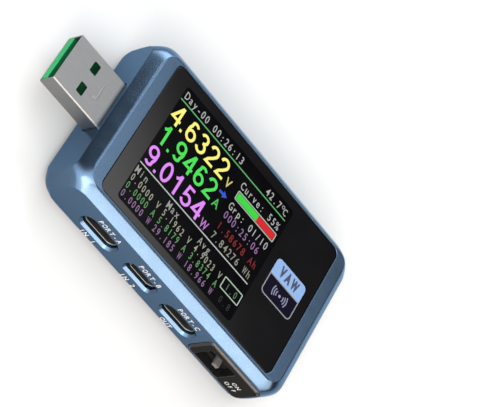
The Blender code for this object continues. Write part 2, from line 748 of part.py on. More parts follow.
def slide_switch(body_material, knob_material):
    """The slide switch behind the bezel, and its knob, which stands through the bezel's slot."""
    middle = KNOB_X - KNOB_TRAVEL / 2
    half_length, depth, height = 3.35 * MM, 2.8 * MM, 1.9 * MM
    low = (middle - half_length, SWITCH_FRONT, SWITCH_LOW)
    high = (middle + half_length, SWITCH_FRONT + depth, SWITCH_LOW + height)
    body = block("slide_switch_body", low, high, body_material)
    slot_half = KNOB_WIDTH / 2 + KNOB_TRAVEL / 2 + GAP
    foot_depth = 1.0 * MM
    slot_low = (middle - slot_half, 0.0, SWITCH_LOW + 0.25 * MM)
    slot_high = (middle + slot_half, SWITCH_FRONT + foot_depth + GAP, SWITCH_LOW + height - 0.25 * MM)
    carve(body, block("slot", slot_low, slot_high))
    knob_low, knob_high = SWITCH_LOW + 0.45 * MM, SWITCH_LOW + height - 0.45 * MM
    half = KNOB_WIDTH / 2
    stem = block(
        "slide_knob",
        (KNOB_X - half, -0.05 * MM, knob_low),
        (KNOB_X + half, SWITCH_FRONT + foot_depth, knob_high),
        knob_material,
    )
    return body, stem


# Thumb dial and back button


def dial_pivot_y():
    return BODY_WIDTH + DIAL_PROUD - DIAL_RADIUS


def dial_switch_body(finish_material):
    """The dial's housing: a back block and two plates that guide the pivot pin."""
    front = BODY_WIDTH - WALL - GAP
    half = 3.7 * MM
    low, high = PART_SEAT, 8.4 * MM
    corners = (DIAL_X - half, 31.5 * MM, low), (DIAL_X + half, front, high)
    body = block("dial_switch_body", *corners, finish_material)
    room_half = 3.2 * MM
    room_low = (DIAL_X - room_half, 33.2 * MM, low + 0.4 * MM)
    room_high = (DIAL_X + room_half, front + MM, high - 0.4 * MM)
    carve(body, block("room", room_low, room_high))
    slot_half = 0.9 * MM
    slot_start, slot_end = dial_pivot_y() - DIAL_PRESS - slot_half, dial_pivot_y() + slot_half
    slot_low = (DIAL_X - slot_half, slot_start, 0.0)
    slot = block("slot", slot_low, (DIAL_X + slot_half, slot_end, BODY_HEIGHT))
    carve(body, slot)
    return body


def dial_pin(finish_material):
    outline = circle(DIAL_X, dial_pivot_y(), 0.6 * MM, 16)
    return prism("dial_pin", "Z", outline, PART_SEAT + 0.1 * MM, 8.3 * MM, finish_material)


def dial_lever(finish_material):
    """A ribbed sector that the thumb rocks along the side, or presses, bored for its pin."""
    low, high = DIAL_Z - 1.1 * MM, DIAL_Z + 1.1 * MM
    hub_radius, half_angle, steps = 1.5 * MM, 36, 16
    pivot = Vector((DIAL_X, dial_pivot_y()))
    outline = []
    for step in range(steps + 1):
        angle = math.radians(90 + half_angle - 2 * half_angle * step / steps)
        rib = 0.18 * MM if step % 2 else 0.0
        outline.append(pivot + (DIAL_RADIUS - rib) * Vector((math.cos(angle), math.sin(angle))))
    for step in range(9):
        angle = math.radians(40 - 260 * step / 8)
        outline.append(pivot + hub_radius * Vector((math.cos(angle), math.sin(angle))))
    lever = prism("dial_lever", "Z", outline, low, high, finish_material)
    bore = circle(pivot.x, pivot.y, 0.85 * MM, 16)
    carve(lever, prism("bore", "Z", bore, 0.0, BODY_HEIGHT))
    return lever


def back_button(finish_material):
    """The cap of the back key, held in behind the wall by its flange."""
    face_size, flange_size = Vector((5.2, 2.6)) * MM, Vector((7.0, 3.6)) * MM
    wall_inside = BODY_WIDTH - WALL
    start, end = around(BUTTON_X, BUTTON_Z, face_size)
    top = BODY_WIDTH + BUTTON_PROUD
    edge = Vector((0.25, 0.25)) * MM
    face = rounded_rectangle(start, end, 1.25 * MM)
    crown = rounded_rectangle(start + edge, end - edge, 1.0 * MM)
    flange_back = wall_inside - GAP - 0.5 * MM
    sections = ((flange_back, face), (top - edge.x, face), (top, crown))
    cap = loft("back_button", "Y", sections, finish_material)
    start, end = around(BUTTON_X, BUTTON_Z, flange_size)
    flange = rounded_rectangle(start, end, 1.3 * MM)
    fuse(cap, prism("flange", "Y", flange, flange_back - 0.1 * MM, wall_inside - GAP))
    return cap


def back_switch(body_material, plunger_material):
    """The tactile switch behind the back button, and its plunger, which moves with the cap."""
    front = 35.6 * MM
    low = (BUTTON_X - 2.2 * MM, front - 2.2 * MM, PART_SEAT)
    high = (BUTTON_X + 2.2 * MM, front, PART_SEAT + 3.4 * MM)
    body = block("back_switch_body", low, high, body_material)
    hole = circle(BUTTON_X, BUTTON_Z, 1.1 * MM, 16)
    carve(body, prism("hole", "Y", hole, front - 1.2 * MM, front + MM))
    cap_back = BODY_WIDTH - WALL - GAP - 0.6 * MM
    plunger = circle(BUTTON_X, BUTTON_Z, 0.8 * MM, 16)
    prism("back_switch_plunger", "Y", plunger, front - 0.5 * MM, cap_back - 0.1 * MM, plunger_material)
    return body


# Joints: an empty on each axis, the parent of what moves on it


def joint_empty(name, location, parent=None):
    empty = bpy.data.objects.new(name, None)
    empty.empty_display_size = 2.0 * MM
    bpy.context.scene.collection.objects.link(empty)
    empty.location = location
    if parent:
        empty.parent = parent
        empty.matrix_parent_inverse = Matrix.Translation(parent.location).inverted()
    return empty


def hang(empty, *names):
    for name in names:
        piece = bpy.data.objects[name]
        piece.parent = empty
        piece.matrix_parent_inverse = Matrix.Translation(empty.location).inverted()


def hang_moving_parts():
    hang(joint_empty("switch_axis", at(KNOB_X, 0.0, SWITCH_LOW)), "slide_knob")
    pivot = at(DIAL_X, dial_pivot_y(), DIAL_Z)
    carriage = joint_empty("dial_press_axis", pivot)
    hang(carriage, "dial_pin")
    hang(joint_empty("dial_tilt_axis", pivot, carriage), "dial_lever")
    button = joint_empty("button_axis", at(BUTTON_X, BODY_WIDTH, BUTTON_Z))
    hang(button, "back_button", "back_switch_plunger")


def build():
    clear_scene()
    blue = material("blue_paint", (0.055, 0.115, 0.205), 0.35, 0.6)
    dark_blue = material("cover_paint", (0.04, 0.08, 0.145), 0.45, 0.5)
    black = material("black_plastic", (0.012, 0.012, 0.013), 0.4)
    glass = material("black_glass", (0.006, 0.006, 0.007), 0.05)
    screen = material("display_glass", (0.01, 0.01, 0.012), 0.2)
    steel = material("plated_steel", (0.56, 0.57, 0.58), 0.25, 1.0)
    green = material("green_plastic", (0.005, 0.25, 0.08), 0.4)
    gold = material("gold_contacts", (0.75, 0.52, 0.2), 0.25, 1.0)
    board = material("board_laminate", (0.01, 0.06, 0.035), 0.45)
    chip = material("chip_plastic", (0.02, 0.02, 0.022), 0.5)
    flex = material("amber_film", (0.4, 0.17, 0.03), 0.4)
    pale = material("pale_plastic", (0.75, 0.73, 0.66), 0.5)
    alloy = material("shunt_alloy", (0.36, 0.27, 0.2), 0.35, 1.0)
    ceramic = material("capacitor_ceramic", (0.4, 0.27, 0.16), 0.5)
    ferrite = material("coil_ferrite", (0.06, 0.06, 0.065), 0.7)
    label = material("label_film", (0.02, 0.022, 0.026), 0.3)
    front_case(blue)
    rear_cover(dark_blue)
    rear_label(label)
    case_screws(steel)
    window_lens(glass)
    display_panel(screen)
    display_backlight(steel)
    display_ribbon(flex)
    display_connector(pale)
    main_board(board)
    chips(chip)
    current_shunt(alloy)
    small_parts(ceramic, steel, ferrite)
    radio_module(board, steel)
    usb_plug_shell(steel)
    usb_plug_tongue(green)
    usb_plug_contacts(gold)
    usb_socket_shell(steel)
    usb_socket_tongue(green)
    usb_socket_contacts(gold)
    type_c_port("type_c_input", TYPE_C_IN_X, steel, black)
    type_c_port("type_c_output", TYPE_C_OUT_X, steel, black)
    micro_port("micro_usb_input", MICRO_IN_X, False, steel, black)
    micro_port("pc_port", PC_PORT_X, True, steel, black)
    switch_bezel(black)
    slide_switch(chip, black)
    dial_switch_body(chip)
    dial_pin(steel)
    dial_lever(black)
    back_button(black)
    back_switch(chip, pale)
    hang_moving_parts()


build()
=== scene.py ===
"""The looks of the USB power meter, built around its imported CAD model.

Lengths in this file are millimetres, measured from the body's corner: x from the plug wall, y from the
port wall and z from the back face. at() turns them into a place in the frame.
"""

import json
from functools import cache
from math import copysign, cos, exp, log, pi, radians, sin, tan

import bmesh
import bpy
from mathutils import Matrix, Vector


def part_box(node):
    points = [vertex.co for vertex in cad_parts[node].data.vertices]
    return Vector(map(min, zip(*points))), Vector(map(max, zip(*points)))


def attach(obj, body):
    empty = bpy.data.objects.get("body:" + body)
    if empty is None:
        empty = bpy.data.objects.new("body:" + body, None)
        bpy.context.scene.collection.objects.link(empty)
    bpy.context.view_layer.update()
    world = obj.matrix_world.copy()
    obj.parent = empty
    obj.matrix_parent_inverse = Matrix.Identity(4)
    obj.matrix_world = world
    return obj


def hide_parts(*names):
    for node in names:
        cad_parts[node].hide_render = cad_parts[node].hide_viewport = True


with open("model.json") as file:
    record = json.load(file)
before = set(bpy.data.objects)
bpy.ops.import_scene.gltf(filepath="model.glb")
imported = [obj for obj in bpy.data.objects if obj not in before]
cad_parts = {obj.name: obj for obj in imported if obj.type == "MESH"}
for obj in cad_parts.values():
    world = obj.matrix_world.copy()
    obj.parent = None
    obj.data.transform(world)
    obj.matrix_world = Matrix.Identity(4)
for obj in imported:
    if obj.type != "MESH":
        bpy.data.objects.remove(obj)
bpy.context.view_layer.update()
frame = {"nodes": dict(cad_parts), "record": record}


def vec(*values):
    return Vector(values)


MM = 0.001
CASE_LOW, CASE_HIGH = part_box("front_case")
CORNER = vec(CASE_LOW.x, CASE_LOW.y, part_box("rear_cover")[0].z)
SIZE = (CASE_HIGH - CORNER) / MM
LENGTH, WIDTH, HEIGHT = SIZE
MIDDLE = WIDTH / 2
X_AXIS, Y_AXIS, Z_AXIS = vec(1, 0, 0), vec(0, 1, 0), vec(0, 0, 1)
ACROSS = {"X": (1, 2), "Y": (0, 2), "Z": (0, 1)}


def at(x, y, z):
    """A place in the frame."""
    return CORNER + vec(x, y, z) * MM


def span(node):
    """The lowest and highest corner of a CAD node, in millimetres from the body's corner."""
    low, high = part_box(node)
    return (low - CORNER) / MM, (high - CORNER) / MM


def flat(point, axis):
    """The two coordinates of a point across an axis."""
    return Vector([point[i] for i in ACROSS[axis]])


def lifted(axis, level, point):
    """The place with that coordinate along an axis and those two across it."""
    place = [point.x, point.y]
    place.insert("XYZ".index(axis), level)
    return Vector(place)


# Shapes


def heading(degrees):
    """The flat direction at that angle."""
    return vec(cos(radians(degrees)), sin(radians(degrees)))


def rounded(low, high, radius, steps=8):
    """A rectangle with round corners, counter-clockwise. A list of four radii starts at the high corner."""
    (left, bottom), (right, top) = low, high
    radii = radius if isinstance(radius, tuple) else (radius,) * 4
    corners = ((right, top, 1, 1), (left, top, -1, 1), (left, bottom, -1, -1), (right, bottom, 1, -1))
    points = []
    for number, ((x, y, side_x, side_y), turned) in enumerate(zip(corners, radii)):
        centre = vec(x, y) - vec(side_x, side_y) * turned
        points += [centre + heading(90 * number + 90 * step / steps) * turned for step in range(steps + 1)]
    return points


def rounded_inset(low, high, radius, inset, steps=8):
    shift = vec(inset, inset)
    return rounded(Vector(low) + shift, Vector(high) - shift, max(radius - inset, 0.03), steps)


def circle(centre, radius, count=32):
    return [centre + heading(360 * i / count) * radius for i in range(count)]


def around(centre, size):
    return centre - size / 2, centre + size / 2


def new_object(name, data):
    made = bpy.data.objects.new(name, data)
    bpy.context.scene.collection.objects.link(made)
    return made


def object_from(name, bm):
    """A named object with outward normals from a bmesh."""
    bmesh.ops.recalc_face_normals(bm, faces=bm.faces)
    mesh = bpy.data.meshes.new(name)
    bm.to_mesh(mesh)
    bm.free()
    return new_object(name, mesh)


def loft(name, axis, sections, closed_loop=False):
    """A body through (level, outline) sections: capped, or a sleeve when they close on themselves."""
    bm = bmesh.new()
    rings = []
    for level, outline in sections:
        rings.append([bm.verts.new(at(*lifted(axis, level, point))) for point in outline])
    pairs = list(zip(rings, rings[1:]))
    if closed_loop:
        pairs.append((rings[-1], rings[0]))
    for lower, upper in pairs:
        count = len(lower)
        for i in range(count):
            after = (i + 1) % count
            bm.faces.new((lower[i], lower[after], upper[after], upper[i]))
    if not closed_loop:
        bm.faces.new(list(reversed(rings[0])))
        bm.faces.new(rings[-1])
    return object_from(name, bm)


def quarter(start, inward, radius, steps=3):
    """(level, inset) pairs of an edge rounded from the end face at start to the side."""
    turns = [heading(90 * step / steps) for step in range(steps + 1)]
    return [(start + inward * radius * (1 - turn.x), radius * (1 - turn.y)) for turn in turns]


def stack(name, axis, low, high, radius, pairs, steps=8, closed_loop=False):
    """A body through one rounded rectangle, inset by so much at each (level, inset) pair."""
    sections = [(level, rounded_inset(low, high, radius, inset, steps)) for level, inset in pairs]
    return loft(name, axis, sections, closed_loop)


def soft_prism(name, axis, low, high, radius, start, end, soften, ends=(True, True), steps=8):
    """A rounded rectangle drawn out along an axis, with its end edges rounded."""
    inward = copysign(1.0, end - start)
    first = quarter(start, inward, soften) if ends[0] else [(start, 0.0)]
    last = quarter(end, -inward, soften)[::-1] if ends[1] else [(end, 0.0)]
    return stack(name, axis, low, high, radius, first + last, steps)


def blind_sleeve(name, axis, outline_at, mouth, back, sheet):
    """A sheet tube with a closed back and a round rim: outline_at(inset) gives its section."""
    inward = copysign(1.0, back - mouth)
    rim = sheet / 2
    sections = [(back, outline_at(0.0))]
    for step in range(7):
        turn = heading(30 * step)
        sections.append((mouth + inward * rim * (1 - turn.y), outline_at(rim * (1 - turn.x))))
    sections.append((back - inward * sheet, outline_at(sheet)))
    return loft(name, axis, sections)


def prism(name, axis, outline, start, end):
    return loft(name, axis, ((start, outline), (end, outline)))


def block(name, low, high):
    outline = rounded(low[:2], high[:2], 0.0, 1)[::2]
    return prism(name, "Z", outline, low[2], high[2])


def hole_tool(axis, low, high, radius, wall, inward, depth, soften, steps=8):
    """A cutter whose mouth flares, so that the hole it leaves has a rounded lip."""
    pairs = [(wall - inward * 0.6, soften)] + quarter(wall, inward, soften) + [(wall + inward * depth, 0.0)]
    return stack("hole", axis, low, high, radius, [(level, -inset) for level, inset in pairs], steps)


def chamfer_tool(axis, low, high, radius, wall, inward, depth, chamfer, steps=10):
    """A cutter for a hole with a straight chamfer around its mouth."""
    outer = (wall - inward * 0.4, -(chamfer + 0.4))
    pairs = (outer, (wall + inward * chamfer, 0.0), (wall + inward * depth, 0.0))
    return stack("hole", axis, low, high, radius, pairs, steps)


def apply_modifiers(target):
    graph = bpy.context.evaluated_depsgraph_get()
    result = bpy.data.meshes.new_from_object(target.evaluated_get(graph))
    target.modifiers.clear()
    before, target.data = target.data, result
    bpy.data.meshes.remove(before)
    result.name = target.name


def combine(target, tool, operation):
    modifier = target.modifiers.new("boolean", "BOOLEAN")
    modifier.operation, modifier.solver, modifier.object = operation, "EXACT", tool
    apply_modifiers(target)
    bpy.data.objects.remove(tool)


def carve(target, tool):
    combine(target, tool, "DIFFERENCE")


def fuse(target, tool):
    combine(target, tool, "UNION")


def smooth(target):
    """Smooth shading that keeps real edges sharp and large faces flat."""
    target.data.shade_smooth()
    target.data.set_sharp_from_angle(angle=radians(32))
    target.modifiers.new("flat_faces", "WEIGHTED_NORMAL").keep_sharp = True
    apply_modifiers(target)


def dress(target, finish):
    target.data.materials.clear()
    target.data.materials.append(MATERIALS[finish])


def settle(target, slot, *nodes, body="meter", finish=None):
    """Gives a finished piece its material, fixes it to its CAD body and hides the CAD nodes it stands for."""
    dress(target, finish or slot)
    smooth(target)
    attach(target, body)
    if nodes:
        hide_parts(*nodes)


# Materials


def tone(red, green, blue):
    """A linear colour from the usual 0 to 255 display values."""
    linear = []
    for value in (red, green, blue):
        share = value / 255
        linear.append(share / 12.92 if share <= 0.04045 else ((share + 0.055) / 1.055) ** 2.4)
    return tuple(linear)


def add_node(tree, kind, inputs, **settings):
    """Adds a node and gives its outputs. An input given as a socket is linked, any other value is set."""
    node = tree.nodes.new("ShaderNode" + kind)
    for key, value in settings.items():
        setattr(node, key, value)
    for key, value in inputs.items():
        if isinstance(value, bpy.types.NodeSocket):
            tree.links.new(value, node.inputs[key])
        else:
            node.inputs[key].default_value = value
    return node.outputs


def add_ramp(tree, factor, *stops):
    """The colour of a ramp through (position, colour) stops."""
    node = tree.nodes.new("ShaderNodeValToRGB")
    elements = node.color_ramp.elements
    while len(elements) < len(stops):
        elements.new(0.5)
    for element, (position, colour) in zip(elements, stops):
        element.position = position
        element.color = (*colour, 1.0)
    tree.links.new(factor, node.inputs["Fac"])
    return node.outputs["Color"]


def connect(material, output, name):
    tree = material.node_tree
    tree.links.new(output, tree.nodes["Principled BSDF"].inputs[name])


def finish_of(name, colour, roughness, metallic=0.0, **inputs):
    material = bpy.data.materials.new(name)
    material.use_nodes = True
    shader = material.node_tree.nodes["Principled BSDF"]
    inputs = {"Base_Color": (*colour, 1.0), "Roughness": roughness, "Metallic": metallic, **inputs}
    for key, value in inputs.items():
        shader.inputs[key.replace("_", " ")].default_value = value
    material.diffuse_color = (*colour, 1.0)
    return material


def noise_in(material, size, stretch=(1, 1, 1), detail=3.0):
    """Noise whose patches are about that size, in millimetres, on the object's own coordinates."""
    tree = material.node_tree
    place = add_node(tree, "TexCoord", {})["Object"]
    mapped = add_node(tree, "Mapping", {"Vector": place, "Scale": stretch})["Vector"]
    return add_node(tree, "TexNoise", {"Vector": mapped, "Scale": 1 / (size * MM), "Detail": detail})["Fac"]


def grain(material, size, strength, height, stretch=(1, 1, 1)):
    """A fine relief of that height, in millimetres."""
    relief = {"Strength": strength, "Distance": height * MM, "Height": noise_in(material, size, stretch, 4.0)}
    connect(material, add_node(material.node_tree, "Bump", relief)["Normal"], "Normal")


def mottle(material, first, second, size, stretch=(1, 1, 1)):
    """Lets the colour drift between two shades, in patches of that size."""
    noise = noise_in(material, size, stretch)
    connect(material, add_ramp(material.node_tree, noise, (0.3, first), (0.7, second)), "Base Color")


def vary_gloss(material, low, high, size, stretch=(1, 1, 1)):
    """Lets the roughness drift between two values, as handling leaves it."""
    noise = noise_in(material, size, stretch)
    spread = {"Value": noise, "From Min": 0.3, "From Max": 0.7, "To Min": low, "To Max": high}
    connect(material, add_node(material.node_tree, "MapRange", spread)["Result"], "Roughness")


def scaled(colour, factor):
    return tuple(min(channel * factor, 1.0) for channel in colour)


def plain_finish(name, colour, roughness, metallic=0.0, patch=1.2, drift=0.12, specular=0.5):
    """A finish whose colour and gloss drift a little, with a fine relief."""
    made = finish_of(name, colour, roughness, metallic, Specular_IOR_Level=specular)
    mottle(made, scaled(colour, 1 - drift), scaled(colour, 1 + drift), patch)
    vary_gloss(made, roughness * 0.85, roughness * 1.15, patch * 2)
    grain(made, 0.12, 0.35, 0.004)
    return made


def glowing_finish(name, colour, strength=1.0):
    """A lit part of the display: its light drifts slightly from row to row of pixels."""
    made = finish_of(name, (0.004, 0.004, 0.004), 0.3, Emission_Strength=strength, Specular_IOR_Level=0.1)
    tree = made.node_tree
    rows = {"Vector": add_node(tree, "TexCoord", {})["Object"], "Scale": 1 / (0.8 * MM), "Distortion": 0.0}
    rows = add_node(tree, "TexWave", rows, bands_direction="Y")["Fac"]
    connect(made, add_ramp(tree, rows, (0.0, scaled(colour, 0.82)), (1.0, colour)), "Emission Color")
    return made


# Name, colour, roughness, metallic, patch size and, where not usual, colour drift and specular level.
PLAIN_FINISHES = (
    ("label_film", (0.011, 0.013, 0.018), 0.36, 0.0, 2.0),
    ("flex_film", (0.4, 0.17, 0.03), 0.3, 0.0, 2.0),
    ("pale_plastic", (0.68, 0.66, 0.58), 0.5, 0.0, 0.6),
    ("board_laminate", (0.008, 0.055, 0.03), 0.38, 0.0, 1.5),
    ("chip_plastic", (0.016, 0.016, 0.018), 0.55, 0.0, 0.3),
    ("shunt_alloy", (0.36, 0.27, 0.2), 0.36, 1.0, 0.4),
    ("capacitor_ceramic", (0.4, 0.27, 0.16), 0.5, 0.0, 0.3),
    ("coil_ferrite", (0.06, 0.06, 0.065), 0.7, 0.0, 0.2),
    ("green_plastic", (0.008, 0.25, 0.08), 0.5, 0.0, 0.8, 0.12, 0.2),
    # Painted shade: a darker copy of green_plastic for the tongue's upward faces, which lie in shade under
    # the plug shell.
    ("dark_green_plastic", (0.003, 0.06, 0.024), 0.6, 0.0, 0.8, 0.12, 0.1),
    ("gold_contacts", (0.78, 0.53, 0.2), 0.24, 1.0, 0.3),
    ("black_plastic", (0.005, 0.005, 0.005), 0.2, 0.0, 0.5, 0.12, 0.06),
    ("gloss_plastic", (0.006, 0.006, 0.006), 0.25, 0.0, 0.5),
    ("matte_plastic", (0.011, 0.0108, 0.011), 0.6, 0.0, 0.5, 0.12, 0.0),
    # Painted highlight: a lighter grey for the slide knob, black plastic by its slot, standing in for the
    # light on it.
    ("grey_plastic", (0.09, 0.088, 0.085), 0.3, 0.0, 0.5),
    ("white_print", (0.78, 0.79, 0.8), 0.5, 0.0, 0.3, 0.04, 0.5),
    ("pale_blue_print", (0.108, 0.19, 0.35), 0.35, 0.0, 1.0, 0.05, 0.5),
    ("badge_outline", (0.11, 0.12, 0.14), 0.4, 0.0, 0.4),
    ("sign_print", (0.11, 0.12, 0.19), 0.4, 0.0, 0.4),
    ("letter_print", (0.42, 0.43, 0.44), 0.5, 0.0, 0.3, 0.04, 0.5),
    ("navy_print", (0.0015, 0.0012, 0.006), 0.3, 0.0, 0.3, 0.12, 0.05),
    ("dark_print", (0.012, 0.02, 0.045), 0.4, 0.0, 0.3),
    ("silver_print", (0.62, 0.62, 0.62), 0.4, 0.4, 2.0, 0.08, 0.5),
)


def build_materials():
    made = {row[0]: plain_finish(*row) for row in PLAIN_FINISHES}
    blue, tint = (0.066, 0.115, 0.185), (0.55, 0.74, 0.96, 1.0)
    case = finish_of("case_blue", blue, 0.24, 1.0, Coat_Weight=0.2, Coat_Roughness=0.24, Specular_Tint=tint)
    mottle(case, scaled(blue, 0.94), scaled(blue, 1.07), 0.3)
    vary_gloss(case, 0.22, 0.265, 3.0)
    grain(case, 0.08, 0.12, 0.004)
    cover = finish_of("cover_blue", scaled(blue, 0.75), 0.38, 0.9, Coat_Weight=0.08)
    mottle(cover, scaled(blue, 0.66), scaled(blue, 0.84), 0.35)
    vary_gloss(cover, 0.34, 0.44, 3.0)
    grain(cover, 0.09, 0.5, 0.006)
    grey = (0.21, 0.2135, 0.217)
    steel = finish_of("steel", grey, 0.4, 1.0)
    mottle(steel, scaled(grey, 0.97), scaled(grey, 1.03), 0.6, (0.3, 1, 1))
    vary_gloss(steel, 0.38, 0.43, 1.5, (0.3, 1, 1))
    grain(steel, 0.1, 0.2, 0.0008, (0.15, 1, 1))
    window = finish_of("window_black", (0.0025, 0.0025, 0.003), 0.05, Specular_IOR_Level=0.36)
    mottle(window, (0.002, 0.002, 0.0024), (0.003, 0.003, 0.0035), 8.0)
    vary_gloss(window, 0.04, 0.06, 14.0)
    display = finish_of("display_glass", (0.001, 0.001, 0.0014), 0.05, Specular_IOR_Level=0.03)
    mottle(display, (0.001, 0.001, 0.0014), (0.002, 0.002, 0.0026), 4.0)
    vary_gloss(display, 0.04, 0.06, 10.0)
    made.update(case_blue=case, cover_blue=cover, steel=steel, window_black=window, display_glass=display)
    return made


MATERIALS = build_materials()

# Every CAD node that stays in view takes the finish of its material slot.
for row in frame["record"]["subparts"]:
    dress(frame["nodes"][row["node"]], row["material_slot"])

# Body

SEAM_LEVEL = 2.1
SEAM_HALF = 0.15
WALL = 1.0
SOFT_CREASE = 0.1
BAND_BLEND = 1.05
FRONT_INSET = vec(2.4, 1.9)
FRONT_DROP = 1.9
BACK_INSET = vec(2.1, 2.1)
SIDE_INSET = 2.35
CAVITY_RADIUS = 5.0
CAVITY_TOP = 11.4
BORE_RADIUS = 1.1
LENS_LOW, LENS_HIGH = span("window_lens")
LIP_TOP = span("rear_cover")[1].z


def line_plane(first, second, places):
    """The plane through two points of a cross-section, facing away from the body's middle."""
    run = second - first
    normal = vec(run.y, -run.x).normalized()
    across = vec(0, 0, 0)
    across[places[0]], across[places[1]] = normal
    distance = normal.dot(first)
    if across.dot(SIZE / 2) > distance:
        across, distance = -across, -distance
    return across, distance


def band_planes():
    """The flat bands between the six panels: four round the front, four round the back, four upright."""
    front_start, back_end = HEIGHT - FRONT_DROP, SEAM_LEVEL
    planes = []
    for axis, size, front_inset, back_inset in (
        (0, LENGTH, FRONT_INSET.x, BACK_INSET.x),
        (1, WIDTH, FRONT_INSET.y, BACK_INSET.y),
    ):
        for wall, inward in ((0.0, 1), (size, -1)):
            edge = vec(wall, front_start), vec(wall + inward * front_inset, HEIGHT)
            planes.append(line_plane(*edge, (axis, 2)))
            edge = vec(wall, back_end), vec(wall + inward * back_inset, 0.0)
            planes.append(line_plane(*edge, (axis, 2)))
    for wall_x, inward_x in ((0.0, 1), (LENGTH, -1)):
        for wall_y, inward_y in ((0.0, 1), (WIDTH, -1)):
            edge = vec(wall_x, wall_y + inward_y * SIDE_INSET), vec(wall_x + inward_x * SIDE_INSET, wall_y)
            planes.append(line_plane(*edge, (0, 1)))
    return planes


BANDS = band_planes()


def blend_at(point):
    """How far a point lies outside the blended bands, and the direction they face there."""
    weights = [exp(BAND_BLEND * (normal.dot(point) - distance)) for normal, distance in BANDS]
    total = sum(weights)
    facing = vec(0, 0, 0)
    for (normal, _), weight in zip(BANDS, weights):
        facing += normal * (weight / total)
    return log(total) / BAND_BLEND, facing


def edge_along(start, direction):
    """The point where a ray from inside leaves the blended bands."""
    reach = 16.0
    for _ in range(12):
        outside, facing = blend_at(start + direction * reach)
        if abs(outside) < 1e-5:
            break
        reach -= outside / facing.dot(direction)
    return start + direction * reach


def corner_rays(size, spread, fan):
    """Starts and directions of rays that fan out over the four corners of a rectangle of that size."""
    rays = []
    for quarter_turn, (x, y) in enumerate(((1, 1), (0, 1), (0, 0), (1, 0))):
        start = vec(size.x - spread if x else spread, size.y - spread if y else spread)
        rays += [(start, heading(90 * quarter_turn + 90 * step / fan)) for step in range(fan + 1)]
    return rays


def body_form(name):
    """The outer shape: bands that blend into one another at the corners, cut off by six flat panels."""
    points = []
    # The creases round the six panels, each turned into a small round.
    for axis, along in (("X", X_AXIS), ("Y", Y_AXIS), ("Z", Z_AXIS)):
        for level, outward in ((0.0, -along), (SIZE.dot(along), along)):
            for start, direction in corner_rays(flat(SIZE, axis), 4.5, 36):
                ray = lifted(axis, level, start), lifted(axis, 0.0, direction)
                crease = edge_along(*ray)
                facing = blend_at(crease)[1].normalized()
                inward = (outward * facing.dot(outward) - facing).normalized()
                down = (facing * facing.dot(outward) - outward).normalized()
                points.append(crease + inward * SOFT_CREASE)
                points.append(crease + down * SOFT_CREASE)
                points.append(crease - (outward + facing).normalized() * SOFT_CREASE * 0.2)
    # The blended corners between them.
    levels = 56
    for level in range(1, levels):
        z = HEIGHT * level / levels
        for start, direction in corner_rays(SIZE.xy, 6.0, 36):
            point = edge_along(vec(*start, z), vec(*direction, 0))
            depth = min(min(point[i], SIZE[i] - point[i]) for i in range(3))
            if depth > 0.9 * SOFT_CREASE:
                points.append(point)
    return wrapped(name, [at(*point) for point in points])


def shade_bands(target):
    """Gives the blended bands the exact direction of their surface, so that light runs smoothly over them."""
    mesh = target.data
    normals = [corner.vector.copy() for corner in mesh.corner_normals]
    facings = {}
    for vertex in mesh.vertices:
        outside, facing = blend_at((vertex.co - CORNER) / MM)
        if abs(outside) < 0.01:
            facings[vertex.index] = facing.normalized()
    for face in mesh.polygons:
        for corner in face.loop_indices:
            facing = facings.get(mesh.loops[corner].vertex_index)
            if facing and face.normal.dot(facing) > 0.9:
                normals[corner] = facing
    mesh.normals_split_custom_set(normals)


def wrapped(name, points):
    """The convex body around a set of points, its flat faces made whole."""
    bm = bmesh.new()
    for point in points:
        bm.verts.new(point)
    bmesh.ops.remove_doubles(bm, verts=bm.verts, dist=0.02 * MM)
    made = bmesh.ops.convex_hull(bm, input=bm.verts)
    inside = {item for item in made["geom_interior"] if isinstance(item, bmesh.types.BMVert)}
    bmesh.ops.delete(bm, geom=list(inside), context="VERTS")
    bmesh.ops.dissolve_limit(bm, angle_limit=radians(0.15), verts=bm.verts, edges=bm.edges)
    return object_from(name, bm)


def cut_level(target, level, keep_above):
    """Cuts a convex body along a level plane and closes the cut."""
    bm = bmesh.new()
    bm.from_mesh(target.data)
    cut = bmesh.ops.bisect_plane(
        bm,
        geom=bm.verts[:] + bm.edges[:] + bm.faces[:],
        plane_co=at(0, 0, level),
        plane_no=(0, 0, 1),
        clear_inner=keep_above,
        clear_outer=not keep_above,
    )
    rim = [item for item in cut["geom_cut"] if isinstance(item, bmesh.types.BMEdge)]
    bmesh.ops.contextual_create(bm, geom=rim)
    bmesh.ops.recalc_face_normals(bm, faces=bm.faces)
    bm.to_mesh(target.data)
    bm.free()


def inner_outline(inset):
    return rounded((inset, inset), (LENGTH - inset, WIDTH - inset), CAVITY_RADIUS + WALL - inset)


def screw_spots():
    for number in range(1, 5):
        low, high = span(f"case_screw_{number}")
        yield flat((low + high) / 2, "Z")


def face_of(node, axis, across=0.0, up=0.0):
    """The rectangle of a CAD node, seen along an axis, with that much air across and up."""
    low, high = span(node)
    slack = vec(across, up)
    return flat(low, axis) - slack, flat(high, axis) + slack


def wall_hole(node, radius, wall, inward):
    """A chamfered cutter for a port's opening in a long wall."""
    return chamfer_tool("Y", *face_of(node, "Y", 0.2, 0.22), radius, wall, inward, 2.0, 0.55)


